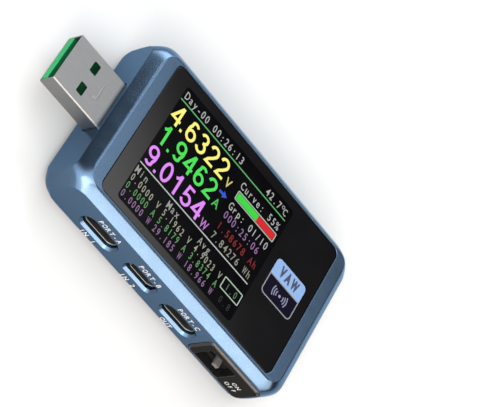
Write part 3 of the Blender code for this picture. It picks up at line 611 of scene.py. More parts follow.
def case_shell():
    ledge = LENS_LOW.z - 0.3
    case = body_form("case_shell")
    cut_level(case, SEAM_LEVEL + SEAM_HALF, keep_above=True)
    carve(case, prism("cavity", "Z", inner_outline(WALL), 0.0, CAVITY_TOP))
    window = face_of("window_lens", "Z", 0.13, 0.13)
    carve(case, hole_tool("Z", *window, 1.73, HEIGHT, -1, HEIGHT - ledge, 0.12))
    panel = rounded(*face_of("display_panel", "Z", 0.3, 0.3), 1.0)
    carve(case, prism("opening", "Z", panel, CAVITY_TOP - 1, HEIGHT))
    for spot in screw_spots():
        fuse(case, prism("pillar", "Z", circle(spot, 1.7, 24), LIP_TOP + 0.3, CAVITY_TOP + 0.2))
    for spot in screw_spots():
        carve(case, prism("bore", "Z", circle(spot, BORE_RADIUS, 24), 0.0, 9.0))
    for node, radius in (("type_c_input", 1.78), ("type_c_output", 1.78), ("micro_usb_input", 0.9)):
        carve(case, wall_hole(node + "_shell", radius, 0.0, 1))
    carve(case, hole_tool("Y", *face_of("switch_bezel", "Y", 0.12, 0.12), 1.57, 0.0, 1, 2.7, 0.08))
    carve(case, wall_hole("pc_port_shell", 0.9, WIDTH, -1))
    for node, size, radius in (("back_button", (5.8, 3.2), 1.5), ("dial_lever", (7.6, 3.0), 1.0)):
        low, high = face_of(node, "Y")
        hole = around((low + high) / 2, Vector(size))
        carve(case, hole_tool("Y", *hole, radius, WIDTH, -1, 2.0, 0.12))
    plug_hole = around(PLUG_CENTRE, PLUG_SIZE + vec(0.6, 0.6))
    carve(case, hole_tool("X", *plug_hole, 0.8, 0.0, 1, 2.0, 0.1))
    socket_hole = face_of("usb_socket_shell", "X", 0.3, 0.3)
    carve(case, hole_tool("X", *socket_hole, 0.8, LENGTH, -1, 2.0, 0.12))
    settle(case, "case_blue", "front_case")
    shade_bands(case)


def cover_shell():
    cover = body_form("cover_shell")
    cut_level(cover, SEAM_LEVEL - SEAM_HALF, keep_above=False)
    fuse(cover, prism("lip", "Z", inner_outline(WALL + 0.3), 1.5, LIP_TOP))
    carve(cover, prism("pocket", "Z", inner_outline(2.3), 1.2, HEIGHT))
    for spot in screw_spots():
        fuse(cover, prism("boss", "Z", circle(spot, 2.9, 32), 0.6, LIP_TOP))
    for spot in screw_spots():
        carve(cover, prism("bore", "Z", circle(spot, BORE_RADIUS, 24), -1.0, HEIGHT))
        reach = vec(2.3, 2.3)
        carve(cover, hole_tool("Z", spot - reach, spot + reach, 2.28, 0.0, 1, 1.3, 0.15, 10))
    recess = face_of("rear_label", "Z", 0.15, 0.15)
    carve(cover, hole_tool("Z", *recess, 2.5, 0.0, 1, 0.5, 0.15))
    notch_low, notch_high = face_of("switch_bezel", "Y", 0.6)
    carve(cover, block("lip_notch", (notch_low.x, 0.0, SEAM_LEVEL), (notch_high.x, 3.2, HEIGHT)))
    settle(cover, "cover_blue", "rear_cover")
    shade_bands(cover)


def refinish(target, finish, facing):
    """Gives the flat faces of a piece that look one way a finish of their own."""
    target.data.materials.append(MATERIALS[finish])
    for face in target.data.polygons:
        if face.normal.dot(facing) > 0.99:
            face.material_index = 1


# USB plug and socket

PLUG_LOW, PLUG_HIGH = span("usb_plug_shell")
PLUG_SIZE = vec(PLUG_HIGH.y - PLUG_LOW.y, 4.5)
PLUG_CENTRE = vec((PLUG_LOW.y + PLUG_HIGH.y) / 2, PLUG_HIGH.z - PLUG_SIZE.y / 2)
SHEET = 0.3


def plug_shell():
    """An open sheet tube with two windows, a stamped mark and the seam of the folded sheet."""
    low, high = around(PLUG_CENTRE, PLUG_SIZE)
    mouth, tail, edge = PLUG_LOW.x, PLUG_HIGH.x, 0.2 * SHEET
    pairs = [(tail, 0.0), (mouth + edge, 0.0), (mouth + edge * 0.3, edge * 0.3), (mouth, edge)]
    pairs += [(mouth, SHEET - edge), (mouth + edge, SHEET), (tail, SHEET)]
    shell = stack("plug_shell", "X", low, high, 0.22, pairs, 1, closed_loop=True)
    for side in (-1, 1):
        centre = vec(-7.4, PLUG_CENTRE.x + side * 2.8)
        window = rounded(*around(centre, vec(1.8, 2.6)), 0.28, 5)
        carve(shell, prism("window", "Z", window, 0.0, HEIGHT))
    top = PLUG_HIGH.z
    for stamp in (((-3.78, 17.7), (-3.4, 21.6)), ((-4.5, 17.7), (-3.5, 18.08))):
        fuse(shell, soft_prism("stamp", "Z", *stamp, 0.17, top - 0.1, top + 0.1, 0.09, (False, True)))
    seam_y, seam_top = PLUG_CENTRE.x, low.y + 0.5
    for start, end, shift in ((-14.5, -9.6, 0.0), (-9.7, -5.2, 0.9), (-5.3, tail + 1, 0.0)):
        slit = (start, seam_y + shift - 0.04, low.y - 1), (end, seam_y + shift + 0.04, seam_top)
        carve(shell, block("seam", *slit))
    for x in (-9.65, -5.25):
        slit = (x - 0.05, seam_y - 0.04, low.y - 1), (x + 0.05, seam_y + 0.94, seam_top)
        carve(shell, block("seam", *slit))
    settle(shell, "steel", "usb_plug_shell")


def plug_tongue():
    low, high = span("usb_plug_tongue")
    base, thin = 0.5, vec(high.y, low.z + 1.75)
    tongue = soft_prism("plug_tongue", "X", flat(low, "X"), thin, 0.2, low.x, base + 0.5, 0.18, (True, False))
    fuse(tongue, soft_prism("root", "X", *face_of("usb_plug_tongue", "X"), 0.2, base, high.x, 0.1))
    settle(tongue, "green_plastic", "usb_plug_tongue")
    # Painted shade: the tongue's upward faces, under the shell and its windows, take a darker green in place
    # of the shade there.
    refinish(tongue, "dark_green_plastic", Z_AXIS)


def contact_set(prefix, nodes_prefix, mouth_is_low, bare=None):
    """Contact strips with rounded ends; only a bare length near the mouth shows when one is given."""
    for number in range(1, 5):
        low, high = span(f"{nodes_prefix}_{number}")
        if bare:
            high.x = low.x + bare
            low.z, high.z = low.z - 0.15, high.z - 0.12
        shape = (0.3, low.z, high.z, 0.05, (not mouth_is_low, mouth_is_low), 5)
        strip = soft_prism(f"{prefix}_{number}", "Z", flat(low, "Z"), flat(high, "Z"), *shape)
        settle(strip, "gold_contacts", f"{nodes_prefix}_{number}")


def socket_parts():
    low, high = span("usb_socket_shell")
    mouth = high.x

    def outline_at(inset):
        return rounded_inset(*face_of("usb_socket_shell", "X"), 0.5, inset, 6)

    shell = blind_sleeve("socket_shell", "X", outline_at, mouth, low.x, SHEET)
    for side in (-1, 1):
        for shift in (-1.1, 1.0):
            start_y = MIDDLE + side * 2.9 + shift
            carve(shell, block("slit", (mouth - 9.0, start_y, 0.0), (mouth - 3.0, start_y + 0.1, HEIGHT)))
    settle(shell, "steel", "usb_socket_shell")
    low, high = span("usb_socket_tongue")
    step = low.x + 3.0
    blade = (MIDDLE - 5.4, 7.9), (MIDDLE + 5.4, 9.5)
    tongue = soft_prism("socket_tongue", "X", *blade, 0.2, high.x, step - 1, 0.3, (True, False))
    fuse(tongue, soft_prism("root", "X", *face_of("usb_socket_tongue", "X"), 0.2, low.x, step, 0.1))
    settle(tongue, "green_plastic", "usb_socket_tongue")


# Side ports


def port(name, mouth_is_low, outline_at, sheet, blade, blade_radius, soften, steps, base):
    """A port's shell and, in it, its insulator: a thin blade on a base. Gives the insulator's two ends."""
    low, high = span(name + "_shell")
    mouth, back = (low.y, high.y) if mouth_is_low else (high.y, low.y)
    settle(blind_sleeve(name + "_sleeve", "Y", outline_at, mouth, back, sheet), "steel", name + "_shell")
    low, high = span(name + "_tongue")
    front, rear = (low.y, high.y) if mouth_is_low else (high.y, low.y)
    inward = copysign(1.0, rear - front)
    shape = (blade_radius, front, rear - inward, soften, (True, False), steps)
    insulator = soft_prism(name + "_blade", "Y", *blade, *shape)
    fuse(insulator, prism("base", "Y", outline_at(0.45), rear - inward * base, rear))
    settle(insulator, "black_plastic", name + "_tongue")
    return front, rear, inward


def contact_pads(name, middle, count, pitch, half_width, ends, levels, thickness):
    """Rows of flat contacts along a port's blade."""
    pads = bmesh.new()
    near, far = sorted(ends)
    for level in levels:
        for pad in range(count):
            x = middle + (pad - (count - 1) / 2) * pitch
            add_box(pads, (x - half_width, near, level), (x + half_width, far, level + thickness))
    settle(object_from(name + "_pads", pads), "gold_contacts")


def type_c_port(name):
    section = face_of(name + "_shell", "Y")

    def outline_at(inset):
        return rounded_inset(*section, 1.58, inset, 10)

    centre = (section[0] + section[1]) / 2
    blade = around(centre, vec(6.7, 0.7))
    front, rear, inward = port(name, True, outline_at, 0.3, blade, 0.25, 0.12, 8, 1.95)
    ends = front + inward * 0.5, rear - inward * 2.1
    contact_pads(name, centre.x, 12, 0.5, 0.13, ends, (blade[0].y - 0.02, blade[1].y - 0.03), 0.05)


def add_box(bm, low, high):
    corners = [at(x, y, z) for z in (low[2], high[2]) for y in (low[1], high[1]) for x in (low[0], high[0])]
    verts = [bm.verts.new(corner) for corner in corners]
    for face in ((0, 1, 3, 2), (4, 6, 7, 5), (0, 4, 5, 1), (2, 3, 7, 6), (0, 2, 6, 4), (1, 5, 7, 3)):
        bm.faces.new([verts[i] for i in face])


def filleted(points, radius, steps=4):
    """A convex outline with each corner turned as an arc."""
    made = []
    count = len(points)
    for i, corner in enumerate(points):
        before = (points[i - 1] - corner).normalized()
        after = (points[(i + 1) % count] - corner).normalized()
        half = before.angle(after) / 2
        reach = radius / tan(half)
        centre = corner + (before + after).normalized() * (radius / sin(half))
        start = corner + before * reach - centre
        end = corner + after * reach - centre
        sweep = start.angle(end)
        for step in range(steps + 1):
            share = step / steps
            angle = share * sweep
            made.append(centre + (start * sin(sweep - angle) + end * sin(angle)) / sin(sweep))
    return made


def micro_port(name, mouth_is_low):
    section_low, section_high = face_of(name + "_shell", "Y")
    cut = 0.9

    def outline_at(inset):
        left, right = section_low.x + inset, section_high.x - inset
        bottom, top = section_low.y + inset, section_high.y - inset
        low_edge = vec(left + cut, bottom), vec(right - cut, bottom), vec(right, bottom + cut)
        high_edge = vec(right, top), vec(left, top), vec(left, bottom + cut)
        return filleted(low_edge + high_edge, 0.35)

    centre = (section_low + section_high) / 2
    blade = centre + vec(-2.4, 0.15), centre + vec(2.4, 0.75)
    front, rear, inward = port(name, mouth_is_low, outline_at, 0.28, blade, 0.15, 0.1, 5, 1.55)
    ends = front + inward * 0.5, rear - inward * 1.7
    contact_pads(name, centre.x, 5, 0.65, 0.15, ends, (blade[0].y - 0.03,), 0.06)


# Slide switch

BEZEL_INK = 0.02


def bezel():
    low, high = span("switch_bezel")
    proud, back = -low.y - BEZEL_INK, high.y
    front = ((-proud, 0.6), (-proud + 0.005, 0.5), (-proud + 0.025, 0.43))
    sides = ((-0.03, 0.09), (0.05, 0.02), (0.12, 0.0), (back, 0.0))
    made = stack("switch_frame", "Y", *face_of("switch_bezel", "Y"), 1.45, front + sides)
    carve(made, hole_tool("Y", (50.2, 3.65), (57.9, 9.5), 0.4, -proud, 1, 2.0 + proud, 0.1, 4))
    knob_low, knob_high = span("slide_knob")
    travel, gap = 2.0, 0.3
    carve(made, block("slot", (knob_low.x - travel - gap, 0.0, 4.8), (knob_high.x + gap, back + 1, 6.7)))
    settle(made, "black_plastic", "switch_bezel", finish="gloss_plastic")
    # The flat front is matte; the bevel round it stays glossy.
    refinish(made, "matte_plastic", -Y_AXIS)


def knob():
    low, high = span("slide_knob")
    made = soft_prism("slide_thumb", "Y", *face_of("slide_knob", "Y"), 0.12, low.y, high.y, 0.1)
    for step in (-1, 0, 1):
        x = (low.x + high.x) / 2 + step * 0.42
        groove = [vec(x - 0.1, low.y - 0.2), vec(x + 0.1, low.y - 0.2), vec(x, low.y + 0.16)]
        carve(made, prism("groove", "Z", groove, low.z - 1, high.z + 1))
    # Painted highlight: the knob takes a lighter grey than its black plastic, in place of the light that
    # falls on it.
    settle(made, "black_plastic", "slide_knob", body="switch_knob", finish="grey_plastic")


# Keys on the far side


def thumb_dial():
    """A ribbed wheel segment that turns about its pin."""
    pin_low, pin_high = span("dial_pin")
    pivot = flat((pin_low + pin_high) / 2, "Z")
    low, high = span("dial_lever")
    half_angle, rib_steps, steps = 36, 6, 66
    outline = []
    for step in range(steps + 1):
        depth = 0.09 * (1 - cos(2 * pi * step / rib_steps))
        turn = heading(90 + half_angle - 2 * half_angle * step / steps)
        outline.append(pivot + turn * (high.y - pivot.y - depth))
    outline += [pivot + heading(40 - 260 * step / 24) * 1.5 for step in range(25)]
    made = prism("dial_thumb", "Z", outline, low.z, high.z)
    carve(made, prism("bore", "Z", circle(pivot, 0.85, 32), 0.0, HEIGHT))
    settle(made, "black_plastic", "dial_lever", body="dial")


def back_key():
    low, high = span("back_button")
    rim = face_of("back_button", "Y")
    face = around((rim[0] + rim[1]) / 2, vec(5.2, 2.6))
    cap = soft_prism("back_key_cap", "Y", *face, 1.29, high.y, low.y, 0.28, (True, False), 10)
    fuse(cap, prism("flange", "Y", rounded(*rim, 1.3), low.y, low.y + 0.5))
    settle(cap, "black_plastic", "back_button", body="back_key")


# Screws and label

SCREW_HEAD = ((0.0, 1.25), (0.03, 1.6), (0.12, 1.85), (0.3, 1.98), (0.45, 2.0), (0.85, 2.0), (0.85, 0.8))


def screws():
    for number, spot in enumerate(screw_spots(), start=1):
        node = f"case_screw_{number}"
        low, high = span(node)
        profile = [(low.z + depth, radius) for depth, radius in SCREW_HEAD]
        profile += [(high.z - 0.5, 0.8), (high.z, 0.4)]
        sections = [(level, circle(spot, radius, 40)) for level, radius in profile]
        made = loft(f"cover_screw_{number}", "Z", sections)
        for turn in (0, 90):
            carve(made, cross_arm(spot, low.z, turn + 12 * number))
        settle(made, "steel", node)


def cross_arm(spot, surface, turn):
    """One arm of a cross recess: it narrows towards its bottom."""
    along, across = heading(turn), heading(turn + 90)
    sections = []
    for depth, x, y in ((-0.5, 1.3, 0.3), (0.05, 1.2, 0.26), (0.6, 0.55, 0.16)):
        corners = ((-x, -y), (x, -y), (x, y), (-x, y))
        sections.append((surface + depth, [spot + along * u + across * v for u, v in corners]))
    return loft("arm", "Z", sections)


def label():
    low, high = span("rear_label")
    shape = (2.35, low.z, high.z, 0.08, (True, False), 10)
    settle(soft_prism("label_plate", "Z", *face_of("rear_label", "Z"), *shape), "label_film", "rear_label")


# Window and display


def window():
    top = LENS_HIGH.z
    shape = (1.6, top, LENS_LOW.z, 0.12, (True, False), 10)
    glass = soft_prism("window_glass", "Z", *face_of("window_lens", "Z"), *shape)
    settle(glass, "window_black", "window_lens")
    active = rounded((10.0, 4.2), (47.2, 34.7), 0.9, 6)
    settle(prism("display_area", "Z", active, top - 0.05, top + 0.008), "display_glass")


# Flat prints: figures on the display, letters on the case

CAP_HEIGHT = 0.69


@cache
def glyph(character, weight):
    """The filled outline of one character of the plain built-in font, scaled to a cap height of one."""
    text = bpy.data.curves.new("glyph", "FONT")
    text.body, text.resolution_u, text.offset = character, 3, weight
    holder = new_object("glyph", text)
    mesh = bpy.data.meshes.new_from_object(holder)
    points = [vertex.co.xy / CAP_HEIGHT for vertex in mesh.vertices]
    faces = [tuple(face.vertices) for face in mesh.polygons]
    bpy.data.objects.remove(holder)
    bpy.data.curves.remove(text)
    bpy.data.meshes.remove(mesh)
    left, right = min(point.x for point in points), max(point.x for point in points)
    return [point - vec(left, 0) for point in points], faces, right - left


def line_of_text(text, x, y, height, pitch, narrow=1.0, weight=0.0):
    """Faces of a line of text whose characters stand in cells of that pitch, from x onward."""
    shapes = []
    for number, character in enumerate(text):
        if character != " ":
            points, faces, width = glyph(character, weight)
            stretch = min(height * narrow, 0.84 * pitch / width)
            start = x + number * pitch + (pitch - width * stretch) / 2
            placed = [vec(start + point.x * stretch, y + point.y * height) for point in points]
            shapes += [[placed[i] for i in face] for face in faces]
    return shapes


def between(outer, inner):
    """Faces of the strip between two outlines of as many points."""
    count = len(outer)
    return [[outer[i], outer[(i + 1) % count], inner[(i + 1) % count], inner[i]] for i in range(count)]


def arc_shape(centre, radius, stroke, start, end, steps=10):
    """A curved stroke, as on a sign for radio waves."""
    turns = [heading(start + (end - start) * step / steps) for step in range(steps + 1)]
    inner, outer = [[centre + turn * reach for turn in turns] for reach in (radius, radius + stroke)]
    return [[inner[i], inner[i + 1], outer[i + 1], outer[i]] for i in range(steps)]


def wave_sign(centre, scale):
    shapes = [circle(centre, 0.42 * scale, 20)]
    for facing in (0, 180):
        for ring in range(3):
            radius = (1.15 + 0.72 * ring) * scale
            shapes += arc_shape(centre, radius, 0.3 * scale, facing - 32, facing + 32)
    return shapes


def print_on(name, shapes, place, finish, lift=0.0, thickness=0.02):
    """Thin raised shapes on a flat surface: its place is an origin and two directions along it."""
    origin, right, up = place
    outward = right.cross(up)
    bm = bmesh.new()
    for outline in shapes:
        points = [origin + right * point.x + up * point.y + outward * lift for point in outline]
        bm.faces.new([bm.verts.new(at(*point)) for point in points])
    bmesh.ops.remove_doubles(bm, verts=bm.verts, dist=0.001 * MM)
    grown = bmesh.ops.extrude_face_region(bm, geom=bm.faces[:], use_keep_orig=True)
    raised = [item for item in grown["geom"] if isinstance(item, bmesh.types.BMVert)]
    bmesh.ops.translate(bm, verts=raised, vec=outward * thickness * MM)
    bmesh.ops.recalc_face_normals(bm, faces=bm.faces)
    made = object_from(name, bm)
    dress(made, finish)
    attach(made, "meter")


SCREEN = vec(0, 0, LENS_HIGH.z), X_AXIS, Y_AXIS


def on_screen(name, shapes, colour, strength=1.0):
    MATERIALS[name] = glowing_finish(name, tone(*colour), strength)
    print_on(name, shapes, SCREEN, name, 0.008, 0.015)


def oval(centre_x, centre_y, radius_x, radius_y, start, end, steps=14):
    """Points along a part of an oval, its angles in degrees."""
    turns = [heading(start + (end - start) * step / steps) for step in range(steps + 1)]
    return [vec(centre_x + radius_x * turn.x, centre_y + radius_y * turn.y) for turn in turns]


def trail(*places):
    return [Vector(place) for place in places]


def half_turned(strokes):
    """The same strokes turned by half a turn in their cell."""
    return [[vec(DIGIT_WIDTH, 1.0) - point for point in stroke] for stroke in strokes]


# Middle lines of the large digits, in a cell as high as one and as wide as DIGIT_WIDTH.
DIGIT_WIDTH = 0.6
SIX = [
    oval(0.3, 0.31, 0.215, 0.235, 0, 360, 24),
    oval(0.3, 0.69, 0.2, 0.235, 35, 130, 8) + oval(0.36, 0.45, 0.275, 0.4, 140, 196, 8),
]
TWO_FOOT = trail((0.36, 0.42), (0.18, 0.24), (0.1, 0.075), (0.53, 0.075))
DIGIT_LINES = {
    "0": [oval(0.3, 0.5, 0.215, 0.425, 0, 360, 28)],
    "1": [trail((0.35, 0.0), (0.35, 1.0)), trail((0.12, 0.7), (0.24, 0.78), (0.35, 0.93))],
    "2": [oval(0.3, 0.7, 0.21, 0.225, 170, -35, 16) + TWO_FOOT],
    "3": [oval(0.285, 0.73, 0.19, 0.195, 160, -90, 16), oval(0.285, 0.305, 0.22, 0.23, 90, -165, 18)],
    "4": [trail((0.42, 0.0), (0.42, 0.98)), trail((0.4, 0.94), (0.07, 0.3), (0.56, 0.3))],
    "5": [trail((0.5, 0.925), (0.17, 0.925), (0.115, 0.49)) + oval(0.29, 0.32, 0.225, 0.245, 128, -165, 18)],
    "6": SIX,
    "9": half_turned(SIX),
}
DIGIT_STROKE = 0.13
READING_X, READING_HEIGHT, DIGIT_PITCH, POINT_PITCH = 10.3, 4.8, 3.45, 1.3
UNIT_X, SIDE_X, COLUMNS = 28.8, 32.7, (10.2, 20.4, 30.8)


def ribbon(line, stroke):
    """Faces of an even stroke along a line."""
    closed = (line[0] - line[-1]).length < 1e-6
    points = line[:-1] if closed else line
    count = len(points)
    edges = []
    for i, point in enumerate(points):
        before = points[i - 1] if closed or i > 0 else point
        after = points[(i + 1) % count] if closed or i < count - 1 else point
        first = (point - before).normalized() if before != point else (after - point).normalized()
        second = (after - point).normalized() if after != point else first
        along = (first + second).normalized()
        side = vec(-along.y, along.x) * (stroke / 2 / max(along.dot(first), 0.5))
        edges.append((point + side, point - side))
    pairs = list(zip(edges, edges[1:] + edges[:1]))[: count if closed else count - 1]
    return [[left, right, next_right, next_left] for (left, right), (next_left, next_right) in pairs]


def big_reading(text, y):
    """One of the three large readings, its digits drawn with an even stroke."""
    shapes = []
    x, height = READING_X, READING_HEIGHT
    for character in text:
        if character == ".":
            size = DIGIT_STROKE * height
            shapes.append(trail((x, y), (x + size, y), (x + size, y + size), (x, y + size)))
            x += POINT_PITCH
            continue
        for stroke in DIGIT_LINES[character]:
            for face in ribbon(stroke, DIGIT_STROKE):
                shapes.append([vec(x + point.x * height * 1.06, y + point.y * height) for point in face])
        x += DIGIT_PITCH
    return shapes


def small_text(text, x, y):
    return line_of_text(text, x, y, 1.75, 1.33, 0.78, 0.004)


def screen_bar(name, low, high, colour):
    on_screen(name, [rounded(low, high, 0.05, 4)], colour)


def screen_frame(name, low, high, stroke, colour):
    on_screen(name, between(rounded(low, high, 0.3, 5), rounded_inset(low, high, 0.3, stroke, 5)), colour)


def screen():
    for name, text, y, colour in (
        ("reading_volts", "4.6322", 25.6, (250, 244, 120)),
        ("reading_amps", "1.9462", 20.0, (70, 226, 84)),
        ("reading_watts", "9.0154", 14.3, (226, 138, 250)),
    ):
        on_screen(name, big_reading(text, y), colour, 1.1)
    for name, text, y, pitch, colour in (
        ("unit_volts", "V", 25.5, 2.2, (214, 208, 120)),
        ("unit_amps", "A", 19.9, 2.2, (72, 196, 86)),
        ("unit_watts", "W", 14.2, 2.6, (190, 124, 210)),
    ):
        on_screen(name, line_of_text(text, UNIT_X, y, 2.1, pitch, 0.85, 0.012), colour)
    header = small_text("Day-00 00:26:13", 10.6, 32.0) + small_text("42.7", 38.5, 32.0)
    header += arc_shape(vec(44.35, 33.35), 0.28, 0.13, 0, 360, 16)
    header += line_of_text("C", 44.6, 32.0, 1.62, 1.4, 0.72)
    header += small_text("Curve: 55%", SIDE_X, 28.1) + small_text("Grp: 01/10", SIDE_X, 22.5)
    on_screen("text_header", header, (186, 188, 186))
    screen_bar("rule_green", (10.2, 31.2), (46.3, 31.45), (96, 190, 110))
    screen_bar("rule_white", (10.2, 13.55), (46.3, 13.8), (196, 206, 200))
    shaft = trail((29.0, 23.45), (30.2, 23.45), (30.2, 24.05), (29.0, 24.05))
    on_screen("current_arrow", [shaft, trail((30.2, 22.9), (31.45, 23.75), (30.2, 24.6))], (48, 84, 214))
    screen_frame("bar_frame", (33.0, 25.2), (46.3, 27.5), 0.22, (190, 204, 190))
    screen_bar("bar_green", (33.35, 25.55), (40.2, 27.15), (58, 222, 66))
    screen_bar("bar_red", (40.25, 25.55), (45.95, 27.15), (222, 22, 32))
    for name, text, y, colour in (
        ("text_time", "000:25:06", 20.1, (150, 112, 164)),
        ("text_charge", "1.58678 Ah", 17.2, (136, 26, 34)),
        ("text_energy", "7.84276 Wh", 14.5, (150, 152, 138)),
    ):
        on_screen(name, small_text(text, SIDE_X, y), colour)
    labels = [small_text(text, x, 11.1) for text, x in zip(("Min", "Max", "Avg"), COLUMNS)]
    on_screen("text_labels", sum(labels, []), (160, 164, 156))
    for name, y, texts, colour in (
        ("text_row_volts", 9.15, ("0.0000 V", "5.1962 V", "4.9023 V"), (166, 168, 148)),
        ("text_row_amps", 7.05, ("0.0000 A", "5.8179 A", "3.8374 A"), (96, 156, 96)),
        ("text_row_watts", 4.95, ("0.0000 W", "29.185 W", "18.966 W"), (148, 112, 158)),
    ):
        cells = [line_of_text(text, x, y, 1.6, 1.16, 0.68, 0.006) for text, x in zip(texts, COLUMNS)]
        on_screen(name, sum(cells, []), colour)
    screen_frame("rate_frame", (40.8, 8.1), (46.8, 11.05), 0.24, (186, 206, 188))
    on_screen("rate_value", line_of_text("1.0", 41.9, 8.75, 1.6, 1.3, 0.72), (92, 132, 92))
    on_screen("rate_next", line_of_text("0.8", 41.9, 5.55, 1.6, 1.3, 0.72), (36, 44, 38))


def badge():
    """The badge printed on the window: a pale plate with the three units, over a framed sign for radio."""
    low, middle, high = vec(49.6, 15.2), 20.3, vec(59.5, 24.35)
    plate = rounded((low.x, middle), high, (1.1, 1.1, 0.06, 0.06), 6)
    print_on("badge_plate", [plate], SCREEN, "pale_blue_print")
    letters = []
    for letter, x, pitch in (("V", 51.4, 1.9), ("A", 53.3, 2.0), ("W", 55.2, 2.7)):
        letters += line_of_text(letter, x, 21.3, 2.2, pitch, 0.9, 0.065)
    print_on("badge_letters", letters, SCREEN, "dark_print", 0.02, 0.015)
    corner, stroke = vec(high.x, middle), vec(0.26, 0.26)
    outer = rounded(low, corner, (0.06, 0.06, 1.1, 1.1), 5)
    inner = rounded(low + stroke, corner - stroke, (0.05, 0.05, 0.84, 0.84), 5)
    print_on("badge_frame", between(outer, inner), SCREEN, "badge_outline")
    print_on("badge_field", [inner], SCREEN, "navy_print", thickness=0.01)
    print_on("badge_sign", wave_sign((low + corner) / 2, 0.84), SCREEN, "sign_print", 0.01, 0.015)


def case_letters():
    """Plain port names on the wall, above and below each opening, and on and off beside the switch."""
    shapes, pitch = [], 1.12
    for node, name, below in (
        ("type_c_input_shell", "PORT-A", "IN 1"),
        ("micro_usb_input_shell", "PORT-B", "IN 2"),
        ("type_c_output_shell", "PORT-C", "OUT"),
    ):
        low, high = span(node)
        centre = (low.x + high.x) / 2
        shapes += line_of_text(name, centre - pitch * len(name) / 2, 9.3, 1.3, pitch, 0.8, 0.004)
        shapes += line_of_text(below, centre - pitch * len(below) / 2, 2.3, 1.3, pitch, 0.8, 0.008)
    print_on("port_letters", shapes, (vec(0, 0, 0), X_AXIS, Z_AXIS), "letter_print")
    surface = vec(0, span("switch_bezel")[0].y + BEZEL_INK, 0), X_AXIS, Z_AXIS
    words = line_of_text("ON", 59.9, 6.5, 1.1, 1.2, 0.85) + line_of_text("OFF", 59.3, 4.7, 1.1, 1.2, 0.85)
    print_on("switch_letters", words, surface, "letter_print", thickness=0.012)


def label_prints():
    """Silver bar, radio sign and plain lines of figures on the label; they read across the meter."""
    place = vec(0, WIDTH, span("rear_label")[0].z), -Y_AXIS, -X_AXIS
    silver = rounded((WIDTH - 27.9, -18.3), (WIDTH - 11.0, -14.0), 1.0, 6)
    print_on("label_bar", [silver], place, "silver_print")
    units = line_of_text("V A W", MIDDLE - 5.0, -17.5, 2.6, 2.0, 1.0, 0.02)
    print_on("label_units", units, place, "dark_print", 0.02, 0.015)
    shapes = wave_sign(vec(MIDDLE, -22.0), 1.0)
    lines = ("POWER METER", -28.0, 1.9), ("V 4-24", -30.9, 1.7), ("A 0-6.5", -33.3, 1.7)
    for text, baseline, height in lines:
        shapes += line_of_text(text, MIDDLE - 0.75 * len(text), baseline, height, 1.5, 0.8, 0.012)
    print_on("label_text", shapes, place, "white_print")


# Stage

SKY_STRENGTH = 3.1
SKY_HEIGHTS = 0.0, 0.3, 0.7, 0.722, 0.735, 0.757, 0.78, 1.0
SKY_VALUES = 0.108, 0.046, 0.027, 0.04, 0.15, 0.82, 1.0, 0.65
GLOW, GLOW_DIRECTION = 1.1, (-0.57, -0.7, 0.43)
GLOW_EDGE, GLOW_CORE = cos(radians(54)), cos(radians(20))
PURE_WHITE, WARM_WHITE = (1.0, 1.0, 1.0), (1.0, 0.87, 0.76)
# Name, direction, distance, width, height, radiance, colour.
SOFTBOXES = (
    ("high_back", (-0.2, 0.87, 0.46), 1.2, 0.95, 0.65, 6.5, PURE_WHITE),
    ("port_side", (0.3, -0.8, 0.5), 1.0, 0.86, 0.34, 7.9, WARM_WHITE),
    ("corner", (-0.32, -0.68, 0.62), 1.0, 0.66, 0.42, 8.5, WARM_WHITE),
    ("far_corner", (0.76, -0.52, 0.38), 1.0, 0.36, 0.34, 5.0, WARM_WHITE),
)


def floor():
    bm = bmesh.new()
    reach = 2.5
    for x, y in ((-reach, -reach), (reach, -reach), (reach, reach), (-reach, reach)):
        bm.verts.new((x, y, 0.0))
    bm.faces.new(bm.verts[:])
    made = object_from("floor", bm)
    made.data.materials.append(plain_finish("floor_finish", (0.425, 0.443, 0.456), 0.7, 0.0, 40.0, 0.01))


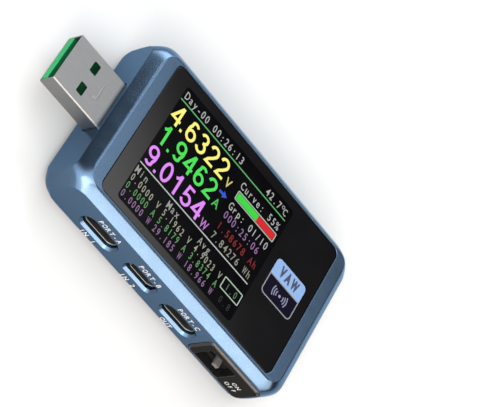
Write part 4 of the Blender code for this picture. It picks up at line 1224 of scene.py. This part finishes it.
def sky():
    """A soft light sheet overhead, darker on the port side, and a glow before the plug and port corner."""
    world = bpy.data.worlds.new("studio")
    bpy.context.scene.world = world
    world.use_nodes = True
    tree = world.node_tree
    direction = add_node(tree, "TexCoord", {})["Generated"]
    along = add_node(tree, "SeparateXYZ", {"Vector": direction})
    by_height = add_ramp(tree, along["Z"], *zip(SKY_HEIGHTS, [(value,) * 3 for value in SKY_VALUES]))
    side = {"Value": along["Y"], "From Min": -0.3, "From Max": 0.2, "To Min": 0.3}
    by_side = add_node(tree, "MapRange", side)["Result"]
    sheet = {"Fac": 1.0, "Color1": by_height, "Color2": by_side}
    sheet = add_node(tree, "MixRGB", sheet, blend_type="MULTIPLY")["Color"]
    towards = {0: direction, 1: GLOW_DIRECTION}
    towards = add_node(tree, "VectorMath", towards, operation="DOT_PRODUCT")["Value"]
    glow = {"Value": towards, "From Min": GLOW_EDGE, "From Max": GLOW_CORE, "To Max": GLOW}
    glow = add_node(tree, "MapRange", glow, interpolation_type="SMOOTHSTEP")["Result"]
    light = add_node(tree, "MixRGB", {"Fac": 1.0, "Color1": sheet, "Color2": glow}, blend_type="ADD")["Color"]
    back = tree.nodes["Background"]
    tree.links.new(light, back.inputs["Color"])
    back.inputs["Strength"].default_value = SKY_STRENGTH


def softboxes():
    for name, direction, distance, width, height, radiance, colour in SOFTBOXES:
        light = bpy.data.lights.new(name, "AREA")
        light.shape = "RECTANGLE"
        light.size, light.size_y = width, height
        light.energy = radiance * pi * width * height
        light.color = colour
        lamp = new_object(name, light)
        towards = Vector(direction).normalized()
        lamp.location = towards * distance
        lamp.rotation_euler = towards.to_track_quat("Z", "Y").to_euler()


def camera():
    lens = bpy.data.cameras.new("camera")
    lens.sensor_width = 36.0
    lens.lens = 165.8
    lens.clip_start, lens.clip_end = 0.01, 10.0
    made = new_object("camera", lens)
    right = vec(0.58075, 0.43870, 0.68576).normalized()
    forward = vec(0.44292, 0.53651, -0.71831)
    forward = (forward - right * forward.dot(right)).normalized()
    up = right.cross(forward)
    turn = Matrix((right, up, -forward)).transposed()
    made.matrix_world = Matrix.Translation(vec(-193.45, -238.24, 341.45) * MM) @ turn.to_4x4()
    bpy.context.scene.camera = made


case_shell()
cover_shell()
window()
plug_shell()
plug_tongue()
contact_set("plug_strip", "usb_plug_contact", False, 3.0)
socket_parts()
contact_set("socket_strip", "usb_socket_contact", True)
type_c_port("type_c_input")
type_c_port("type_c_output")
micro_port("micro_usb_input", True)
micro_port("pc_port", False)
bezel()
knob()
thumb_dial()
back_key()
screws()
label()
screen()
badge()
case_letters()
label_prints()
floor()
sky()
softboxes()
camera()
bpy.context.scene.view_settings.view_transform = "Standard"
